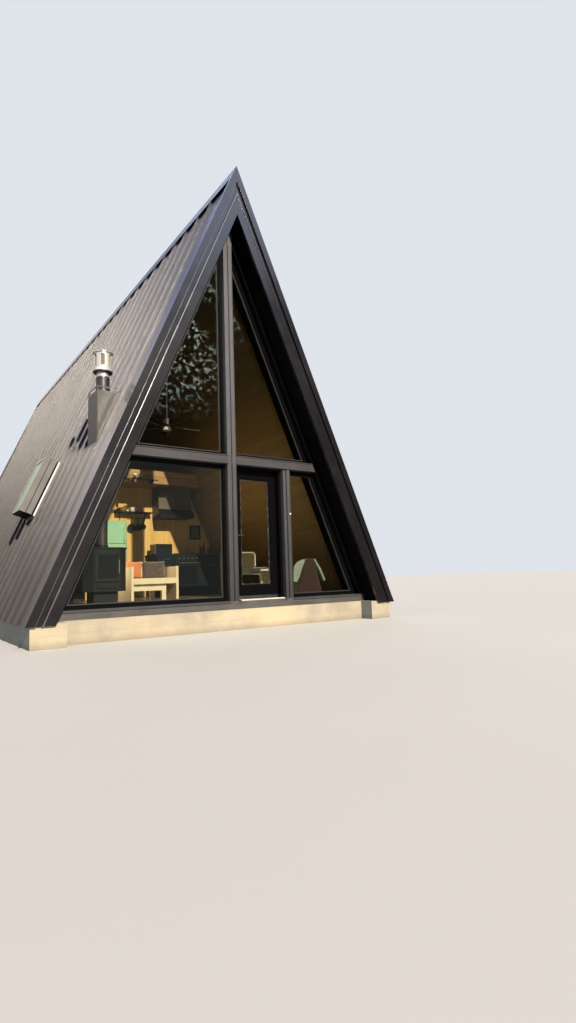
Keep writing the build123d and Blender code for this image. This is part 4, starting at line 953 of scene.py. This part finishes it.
# Roof window: bright flashing strips along its foot, and screws on its flange and the chase's
def make_roof_window_details():
    left, right = ROOF_WINDOW_Y, ROOF_WINDOW_Y + ROOF_WINDOW_WIDTH
    top, foot = ROOF_WINDOW_DOWN, ROOF_WINDOW_DOWN + ROOF_WINDOW_LENGTH
    lift = 0.034
    strip = Shape().slope(-1, SEAM_HEIGHT - 0.0032)
    for y in (left - 0.003, right + 0.0006):
        strip.box((y, top - 0.004, 0.0), (y + 0.0024, foot + 0.004, lift))
    strip.box((left - 0.003, foot + 0.0006, 0.0), (right + 0.003, foot + 0.003, lift))
    piece("roof_window_flashing", strip, "flashing", bevel=0.0008)
    chase_low, chase_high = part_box("chimney_chase")
    chase_foot = (CHASE_OUTER + SEAM_HEIGHT * math.sin(SLOPE)) / math.cos(SLOPE)
    chase_top = chase_foot - CHASE_HEIGHT / math.sin(SLOPE)
    heads = Shape().slope(-1, SEAM_HEIGHT - 0.003)
    for count, start, end, y_low, y_high in (
        (6, top + 0.08, foot - 0.08, left - 0.03, right + 0.03),
        (7, chase_top, chase_foot, chase_low.y + 0.03, chase_high.y - 0.03),
    ):
        for i in range(count):
            for y in (y_low, y_high):
                heads.screw(y, start + i * (end - start) / (count - 1), 0.0, 0.005)
    piece("flange_screws", heads, "hardware")


make_roof_window_details()


# Back gable: upright ribbed sheets, cut round the windows, with plain trims
def make_back_siding():
    wall_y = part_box("back_wall")[1].y
    ribs, trims = Shape(wall_y, 1), Shape(wall_y, 1)
    pitch, half, depth = 0.15, 0.019, 0.017
    foot = slope_x(FOUNDATION, SOFFIT_INSET)
    count = int(foot / pitch)
    for x in (i * pitch for i in range(-count, count + 1)):
        spans = [(FOUNDATION + 0.045, slope_z(abs(x) + half, SOFFIT_INSET) - 0.045)]
        for width, sill, height in BACK_WINDOWS:
            if abs(x) < width / 2 + 0.075:
                spans = [part for a, b in spans
                         for part in ((a, min(b, sill - 0.07)), (max(a, sill + height + 0.07), b))]
        for a, b in spans:
            if b - a > 0.05:
                rib = ((-half, 0.0), (-half * 0.6, depth), (half * 0.6, depth), (half, 0.0))
                ribs.block(*([(x + u, v, w) for u, w in rib] for v in (a, b)))
    piece("back_siding", ribs, "siding_metal")
    for width, sill, height in BACK_WINDOWS:
        outer = rectangle((-width / 2 - 0.07, sill - 0.07), (width / 2 + 0.07, sill + height + 0.07))
        inner = rectangle((-width / 2, sill), (width / 2, sill + height))
        trims.frame_ring(outer, inner, 0.0, 0.022)
        trims.box((-width / 2 - 0.09, sill - 0.012, 0.0), (width / 2 + 0.09, sill, 0.045))
    trims.box((-foot + 0.02, FOUNDATION + 0.002, 0.0), (foot - 0.02, FOUNDATION + 0.045, 0.024))
    piece("back_trims", trims, "trim_metal", bevel=0.002)


make_back_siding()


# Stove: a door with a pane and a lower plate, its handle, and a collar round the pipe
STOVE_CORNER = 0.12
STOVE_LIP = 0.015
STOVE_PIPE_RADIUS = 0.0763


def make_stove_details():
    low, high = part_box("stove")
    center = ((low.x + high.x) / 2, (low.y + high.y) / 2)
    front_y = low.y + STOVE_LIP
    bottom, top = low.z + 0.21, high.z - 0.02
    left, right = low.x + STOVE_LIP + STOVE_CORNER + 0.012, high.x - STOVE_LIP - STOVE_CORNER - 0.012
    outer = rectangle((left, bottom + 0.14), (right, top - 0.045))
    inner = shrink(outer, 0.045)
    door = Shape(front_y).frame_ring(outer, inner, 0.0, 0.022)
    door.box((left + 0.03, bottom + 0.045, 0.0), (right - 0.03, bottom + 0.1, 0.014))
    piece("stove_door", door, "stove_iron", bevel=0.004)
    piece("stove_pane", Shape(front_y).prism(inner, 0.001, 0.012), "dark_glass", slot="iron")
    bar = Shape(front_y)
    grip = right - 0.03
    for z in (bottom + 0.27, bottom + 0.41):
        bar.box((grip, z, 0.022), (grip + 0.012, z + 0.015, 0.052))
    bar.box((grip - 0.002, bottom + 0.255, 0.045), (grip + 0.014, bottom + 0.44, 0.06))
    piece("stove_handle", bar, "steel", bevel=0.003)
    steps = ((0.0, 0.045), (0.008, 0.043), (0.01, 0.012), (0.03, 0.008), (0.032, 0.0005))
    collar = Shape().turned([(STOVE_PIPE_RADIUS + out, up) for out, up in steps], 40, center, high.z)
    piece("stove_collar", collar, "stove_iron", smooth=True)


make_stove_details()


# Kitchen: fronts, range, and small things on the counter
FRONT_GAP = 0.003
DRAWER = 0.17
FRONT_DEPTH = 0.017

# The range's two sides, and each jar's place, radius and height, from the counter's left end
RANGE_PLACE = (0.42, 1.02)
JARS = ((1.13, 0.2, 0.04, 0.19), (1.24, 0.26, 0.032, 0.27), (1.33, 0.17, 0.045, 0.16),
        (1.42, 0.24, 0.03, 0.3))


def make_kitchen_details():
    low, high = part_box("kitchen_counter")
    left, right = low.x + 0.02, high.x
    front_y = low.y + 0.02
    toe, top = FLOOR_Z + 0.1, high.z - 0.032
    range_left, range_right = (left + place for place in RANGE_PLACE)
    fronts, pulls = Shape(front_y), Shape(front_y)
    for start, end in ((left, range_left), (range_right, right)):
        a, b = start + FRONT_GAP, end - FRONT_GAP
        fronts.box((a, top - DRAWER, 0.0), (b, top - 0.004, FRONT_DEPTH))
        fronts.box((a, toe + FRONT_GAP, 0.0), (b, top - DRAWER - 0.005, FRONT_DEPTH))
        middle = (start + end) / 2
        for z in (top - 0.075, top - 0.22):
            pulls.box((middle - 0.075, z, 0.036), (middle + 0.075, z + 0.01, 0.044))
            for x in (middle - 0.064, middle + 0.056):
                pulls.box((x, z, FRONT_DEPTH), (x + 0.008, z + 0.01, 0.036))
    piece("kitchen_fronts", fronts, "cabinet_paint", bevel=0.002)
    piece("kitchen_pulls", pulls, "steel", bevel=0.0015)
    a, b = range_left + FRONT_GAP, range_right - FRONT_GAP
    oven = Shape(front_y).box((a, toe + FRONT_GAP, 0.0), (b, top - 0.115, 0.02))
    oven.box((a, top - 0.11, 0.0), (b, top - 0.004, 0.026))
    piece("range_front", oven, "kitchen_black", bevel=0.003)
    pane = (range_left + 0.075, toe + 0.14, 0.02), (range_right - 0.075, top - 0.22, 0.0225)
    piece("range_pane", Shape(front_y).box(*pane), "dark_glass", bevel=0.001)
    knobs = Shape(front_y)
    for i in range(5):
        x = range_left + 0.09 + i * (range_right - range_left - 0.18) / 4
        knob = ((0.0, 0.052), (0.015, 0.052), (0.018, 0.046), (0.02, 0.026), (0.0, 0.026))
        knobs.turned(knob, 20, (x, top - 0.056))
    knobs.box((range_left + 0.06, top - 0.165, 0.048), (range_right - 0.06, top - 0.15, 0.062))
    for x in (range_left + 0.075, range_right - 0.089):
        knobs.box((x, top - 0.164, 0.02), (x + 0.014, top - 0.151, 0.05))
    piece("range_knobs", knobs, "steel", smooth=True)


def make_counter_things():
    low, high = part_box("kitchen_counter")
    left, top = low.x + 0.02, high.z
    range_left, range_right = (left + place for place in RANGE_PLACE)
    slab = Shape()
    for start, end in ((low.x - 0.002, range_left), (range_right, high.x + 0.002)):
        slab.box((start, low.y - 0.002, top), (end, high.y - 0.001, top + 0.008))
    piece("worktop", slab, "counter_stone", bevel=0.002)
    hob = Shape().box((range_left, low.y + 0.02, top), (range_right, high.y - 0.03, top + 0.01))
    for x in (range_left + 0.16, range_right - 0.16):
        for y in (low.y + 0.19, high.y - 0.18):
            hob.turned(((0.0, 0.022), (0.045, 0.022), (0.06, 0.01)), 20, (x, y), top)
            for a, b in ((0.11, 0.006), (0.006, 0.11)):
                hob.box((x - a, y - b, top + 0.026), (x + a, y + b, top + 0.036))
            for a, b in ((x - 0.11, y), (x + 0.1, y), (x, y - 0.11), (x, y + 0.1)):
                hob.box((a - 0.002, b - 0.006, top + 0.01), (a + 0.01, b + 0.006, top + 0.03))
    piece("range_hob", hob, "kitchen_black", bevel=0.0015)
    toaster = Shape().box((left + 0.02, low.y + 0.1, top + 0.016), (left + 0.4, low.y + 0.42, top + 0.235))
    for x in (left + 0.04, left + 0.36):
        for y in (low.y + 0.12, low.y + 0.38):
            toaster.box((x, y, top + 0.008), (x + 0.02, y + 0.02, top + 0.018))
    piece("toaster_oven", toaster, "kitchen_black", bevel=0.008)
    side = (left + 0.012, low.y + 0.098, top + 0.02), (left + 0.0198, low.y + 0.422, top + 0.231)
    piece("toaster_side", Shape().box(*side), "steel", bevel=0.003)
    jars = Shape()
    for x, y, radius, height in JARS:
        neck, shoulder, throat = radius * 0.4, height * 0.7, height * 0.85
        jar = ((0.0, 0.0), (radius, 0.0), (radius, shoulder), (neck, throat), (neck, height), (0.0, height))
        jars.turned(jar, 20, (left + x, low.y + y), top + 0.008)
    piece("counter_jars", jars, "dark_glass", smooth=True)


def make_cabinet_details():
    low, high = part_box("kitchen_cabinets")
    bottom = high.z - 0.5
    front_y, hood_y = high.y - 0.36, low.y - 0.004
    width = (high.x - low.x) / 2
    fronts = Shape(front_y)
    for start in (low.x, low.x + width):
        end = start + width - FRONT_GAP
        fronts.box((start + FRONT_GAP, bottom + 0.004, 0.0), (end, high.z - 0.02, FRONT_DEPTH))
    piece("wall_cabinet_fronts", fronts, "wall_cabinet", bevel=0.002)
    shell = Shape()
    left, right, rim = low.x - 0.004, high.x + 0.004, low.z + 0.06
    shell.box((left, hood_y, low.z - 0.004), (right, high.y - 0.002, rim))
    shell.block(*([(left, front_y - out, bottom + out / 2), (right, front_y - out, bottom + out / 2),
                   (right, hood_y - out, rim + out / 2), (left, hood_y - out, rim + out / 2)]
                  for out in (0.0, 0.004)))
    piece("hood_shell", shell, "kitchen_black")


make_kitchen_details()
make_counter_things()
make_cabinet_details()


# Small things on the cross wall and in front of the loft
SHELF_TOP = 2.285
LAMP_BAR_OUT = 0.129
GLOBE_SPOTS = (-0.057, 0.063)
GLOBE_RADIUS = 0.04


def make_wall_shelf():
    """A shelf with a bowl and a pot, and a rail of dark pans under it."""
    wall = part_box("partition_wall")[0].y
    z = SHELF_TOP
    board = Shape(wall).box((-0.24, z - 0.03, 0.0), (0.58, z, 0.2))
    for x in (-0.12, 0.45):
        board.box((x, 2.1, 0.0), (x + 0.014, 2.243, 0.014))
        board.box((x, 2.243, 0.0), (x + 0.014, z - 0.03, 0.17))
    piece("wall_shelf", board, "kitchen_black", bevel=0.002)
    bowl = ((0.0, 0.0), (0.05, 0.0), (0.128, 0.078), (0.122, 0.08), (0.045, 0.008), (0.0, 0.008))
    piece("shelf_bowl", Shape().turned(bowl, 32, (-0.08, wall - 0.11), z), "bowl_glaze", smooth=True)
    pot = ((0.0, 0.0), (0.055, 0.0), (0.078, 0.05), (0.07, 0.1), (0.062, 0.1), (0.068, 0.05), (0.048, 0.008),
           (0.0, 0.008))
    piece("shelf_pot", Shape().turned(pot, 28, (0.16, wall - 0.1), z), "bell_white", smooth=True)
    pans = Shape(wall).box((0.05, 2.15, 0.03), (0.47, 2.162, 0.042))
    for x in (0.06, 0.452):
        pans.box((x, 2.152, 0.0), (x + 0.008, 2.16, 0.032))
    for x, radius in ((0.14, 0.085), (0.295, 0.07), (0.415, 0.05)):
        middle = 2.02 - radius
        pans.turned(((0.0, 0.01), (radius, 0.01), (radius + 0.008, 0.052), (radius + 0.004, 0.052),
                     (radius - 0.003, 0.014), (0.0, 0.014)), 28, (x, middle))
        pans.box((x - 0.009, middle + radius, 0.044), (x + 0.009, 2.164, 0.05))
    piece("hanging_pans", pans, "kitchen_black")


def make_picture():
    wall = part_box("partition_wall")[0].y
    outer = rectangle((1.55, 1.7), (1.83, 2.03))
    inner = shrink(outer, 0.035)
    piece("picture_frame", Shape(wall).frame_ring(outer, inner, 0.0, 0.02), "kitchen_black", bevel=0.002)
    piece("picture_card", Shape(wall).prism(inner, 0.0, 0.006), "picture_card")


def make_lamp_bar():
    """A dark bar on short arms in front of the loft, with two white globes on it and two cups under it."""
    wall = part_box("loft_floor")[0].y
    upright = ((0, wall - LAMP_BAR_OUT, 0), (1, 0, 0), (0, 1, 0), (0, 0, 1))
    bar = Shape(wall).box((-0.38, 2.895, 0.12), (0.45, 2.913, 0.138))
    for x in (-0.3, 0.36):
        bar.box((x, 2.898, 0.0), (x + 0.014, 2.91, 0.12))
        bar.box((x - 0.022, 2.88, 0.0), (x + 0.036, 2.928, 0.008))
    bar.use(*upright)
    for x in GLOBE_SPOTS:
        bar.turned(((0.0, 2.95), (0.016, 2.95), (0.02, 2.913), (0.0, 2.913)), 20, (x, 0.0))
    cup = ((0.0, 2.895), (0.026, 2.895), (0.032, 2.82), (0.028, 2.82), (0.024, 2.888), (0.0, 2.888))
    for x in (-0.22, 0.28):
        bar.turned(cup, 24, (x, 0.0))
    piece("lamp_bar", bar, "kitchen_black")
    globes = Shape().use(*upright)
    turns = [math.pi * i / 12 for i in range(13)]
    profile = [(GLOBE_RADIUS * math.sin(t), 2.986 - GLOBE_RADIUS * math.cos(t)) for t in turns]
    profile[0], profile[-1] = (0.0, profile[0][1]), (0.0, profile[-1][1])
    for x in GLOBE_SPOTS:
        globes.turned(profile, 24, (x, 0.0))
    piece("lamp_globes", globes, "bell_white", smooth=True)


make_wall_shelf()
make_picture()
make_lamp_bar()


# Chairs: a pale edge along the armchair's back, and the tub chair's pale bent arms
def make_chair_details():
    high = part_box("armchair")[1]
    right, top, wide = high.x - 0.02, high.z - 0.02, 0.02
    edge = Shape(high.y - 0.19)
    under = top - wide * 0.6
    edge.prism([(right, 0.985), (right, top - 0.05), (right - 0.05, top), (right - 0.4, top),
                (right - 0.4, under), (right - 0.056, under), (right - wide, top - 0.056),
                (right - wide, 0.985)], -0.03, 0.006)
    piece("armchair_edge", edge, "sofa_wood", bevel=0.004)
    arms = Shape(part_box("tub_chair")[0].y)
    arms.prism([(1.625, 1.046), (1.56, 1.042), (1.45, 1.002), (1.385, 0.925), (1.362, 0.81), (1.36, 0.672),
                (1.425, 0.662), (1.487, 0.746), (1.53, 0.86), (1.585, 0.965)], -0.012, 0.022)
    arms.prism([(1.8, 1.05), (1.838, 1.05), (1.95, 0.885), (2.042, 0.7), (2.04, 0.668), (2.008, 0.668),
                (1.92, 0.85)], -0.045, 0.022)
    piece("tub_chair_arms", arms, "arm_wood", bevel=0.006)


make_chair_details()


# Cushions: crowned pads that stand on an edge and pull in between their corners
CUSHION_GRID = 26
CUSHION_PULL = 0.1
FAR_WIDTH = 0.282
NEAR_WIDTH = 0.402


def cushion_points(face, a, b):
    """A point of the cover, as shares of half its size. face is -1 or 1, and a and b run from -1 to 1."""
    x = a * (1 - CUSHION_PULL * (1 - abs(b) ** 2.2) * abs(a) ** 3)
    z = b * (1 - CUSHION_PULL * (1 - abs(a) ** 2.2) * abs(b) ** 3)
    crown = ((1 - a ** 4) * (1 - b ** 4)) ** 0.42
    folds = 0.035 * math.sin(7 * a + 2 * b) * (1 - a * a) * (1 - b * b)
    return x, face * (crown + folds * crown), z


def make_cushion(name, center, width, thickness, height, look):
    shape, grid, count = Shape(), {}, CUSHION_GRID
    for face in (-1, 1):
        for i in range(count + 1):
            for j in range(count + 1):
                if face == 1 and (i in (0, count) or j in (0, count)):
                    grid[face, i, j] = grid[-1, i, j]
                    continue
                x, y, z = cushion_points(face, 2 * i / count - 1, 2 * j / count - 1)
                grid[face, i, j] = len(shape.points)
                point = Vector((x * width / 2, y * thickness / 2, z * height / 2))
                shape.points.append(point + Vector(center))
    for face in (-1, 1):
        for i in range(count):
            for j in range(count):
                corners = ((i, j), (i + 1, j), (i + 1, j + 1), (i, j + 1))
                shape.faces.append(tuple(dict.fromkeys(grid[face, a, b] for a, b in corners)))
    obj = piece(name, shape, look, smooth=True)
    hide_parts("sofa_cushions")


def make_cushions():
    low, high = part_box("sofa_cushions")
    middle = ((low.y + high.y) / 2, (low.z + high.z) / 2)
    size = ((high.y - low.y) * 0.96, high.z - low.z)
    make_cushion("cushion_far", (low.x + FAR_WIDTH / 2, *middle), FAR_WIDTH, *size, "orange_cloth")
    make_cushion("cushion_near", (high.x - NEAR_WIDTH / 2, *middle), NEAR_WIDTH, *size, "brown_cloth")


make_cushions()


# Floor, light and camera
STAGE_HALF = 150.0


def make_stage():
    mesh = bpy.data.meshes.new("studio_floor")
    corners = rectangle((-STAGE_HALF, -STAGE_HALF), (STAGE_HALF, STAGE_HALF))
    mesh.from_pydata([(x, y, 0) for x, y in corners], [], [(0, 1, 2, 3)])
    look = Look("studio_floor", (0.62, 0.6, 0.57), 0.9, 0.0, 0.2)
    look.color(look.mix(look.noise(0.35, 3.0, 0.5), (0.6, 0.58, 0.55), (0.65, 0.63, 0.6)))
    mesh.materials.append(LOOKS["studio_floor"])
    floor = show("studio_floor", mesh)
    floor.visible_glossy = False


def make_world():
    """A pale backdrop, soft light from all round, and a sky for the gloss to mirror.

    The sky is warm and bright low down behind the cabin and bluish above. In front of the cabin a dark band
    with a ragged top and small bright specks stands under a bright haze, with a pale patch at its left.
    """
    world = bpy.data.worlds.new("studio")
    bpy.context.scene.world = world
    world.use_nodes = True
    sky = Nodes(world.node_tree)
    sky.tree.nodes.clear()
    ray = sky.node("TexCoord").outputs["Generated"]
    spot = sky.parts(ray)
    x, y, z = spot["X"], spot["Y"], spot["Z"]
    behind = sky.mix(sky.spread(z, 0.18, 0.3), (1.05, 0.97, 0.93), (1.48, 1.36, 1.4))
    behind = sky.mix(sky.spread(z, 0.4, 0.6), behind, (0.39, 0.44, 0.74))
    side = sky.times(sky.spread(x, -0.06, -0.17), sky.spread(z, 0.55, 0.2))
    behind = sky.mix(side, behind, (0.32, 0.28, 0.24))
    behind = sky.mix(sky.spread(z, 0.0, -0.06), behind, (0.1, 0.09, 0.075))
    ragged = sky.plus(z, sky.times(sky.minus(sky.noise(7.0, 5.0, 0.6, ray), 0.5), 0.16))
    specks = sky.times(sky.spread(sky.noise(150.0, 3.0, 0.6, ray), 0.55, 0.61),
                       sky.spread(sky.noise(9.0, 2.0, 0.5, ray), 0.42, 0.5))
    zone = sky.times(sky.spread(z, 0.27, 0.33), sky.spread(z, 0.48, 0.44))
    specks = sky.times(sky.times(specks, zone), sky.spread(x, 0.48, 0.42))
    patch = sky.times(sky.spread(z, 0.215, 0.195), sky.spread(x, 0.51, 0.485))
    band = sky.mix(patch, (0.03, 0.034, 0.016), (0.24, 0.24, 0.23))
    band = sky.mix(specks, band, (4.0, 4.5, 4.3))
    haze = sky.mix(sky.spread(z, 0.4, 0.9), (2.5, 2.8, 3.8), (0.9, 1.15, 1.8))
    front = sky.mix(sky.spread(ragged, 0.485, 0.515), band, haze)
    mirrored = sky.mix(sky.spread(y, 0.3, 0.05), behind, front)
    seen, soft, gloss = (
        sky.node("Background", {"Color": color, "Strength": strength}).outputs["Background"]
        for color, strength in (((0.74, 0.78, 0.83), 1.0), ((0.62, 0.7, 0.86), 0.45), (mirrored, 1.0)))
    path = sky.node("LightPath").outputs
    unseen = sky.either(path["Is Glossy Ray"], soft, gloss)
    sky.node("OutputWorld", {"Surface": sky.either(path["Is Camera Ray"], unseen, seen)})


def make_lamp(name, kind, travel, color, energy):
    """A lamp that shines along travel."""
    data = bpy.data.lights.new(name, kind)
    data.energy = energy
    data.color = color
    lamp = show(name, data)
    lamp.rotation_euler = Vector(travel).to_track_quat("-Z", "Y").to_euler()
    return lamp


def make_lights():
    """Two suns, and the glow that sunlit boards give back inside, which shows in no pane."""
    key = make_lamp("key", "SUN", (0.066, 1.0, -0.52), (1.0, 0.89, 0.74), 6.0)
    key.data.angle = math.radians(0.7)
    fill = make_lamp("fill", "SUN", (-0.5, -0.8, -0.7), (0.85, 0.92, 1.0), 0.5)
    fill.data.angle = math.radians(30.0)
    glow = make_lamp("room_glow", "AREA", (1.0, -0.05, -0.1), (1.0, 0.84, 0.6), 17.0)
    glow.data.size = 1.4
    glow.data.spread = math.radians(105.0)
    glow.location = (-1.75, -4.6, 1.5)
    glow.visible_camera = False
    glow.visible_glossy = False


def make_camera():
    """The photograph's own viewpoint: eye place, turn to the right, lift, and lean."""
    eye = Vector((-4.334, -14.087, 0.7575))
    yaw, pitch, lean = (math.radians(a) for a in (35.34, 6.47, -1.88))
    ahead = Vector((math.sin(yaw) * math.cos(pitch), math.cos(yaw) * math.cos(pitch), math.sin(pitch)))
    level = Vector((math.cos(yaw), -math.sin(yaw), 0))
    above = level.cross(ahead)
    right = level * math.cos(lean) + above * math.sin(lean)
    up = right.cross(ahead)
    data = bpy.data.cameras.new("camera")
    data.sensor_width = 36.0
    data.lens = 20.216
    data.clip_end = 500.0
    camera = show("camera", data)
    camera.matrix_world = Matrix.Translation(eye) @ Matrix((right, up, -ahead)).transposed().to_4x4()
    bpy.context.scene.camera = camera


make_stage()
make_world()
make_lights()
make_camera()
bpy.context.scene.view_settings.view_transform = "Standard"
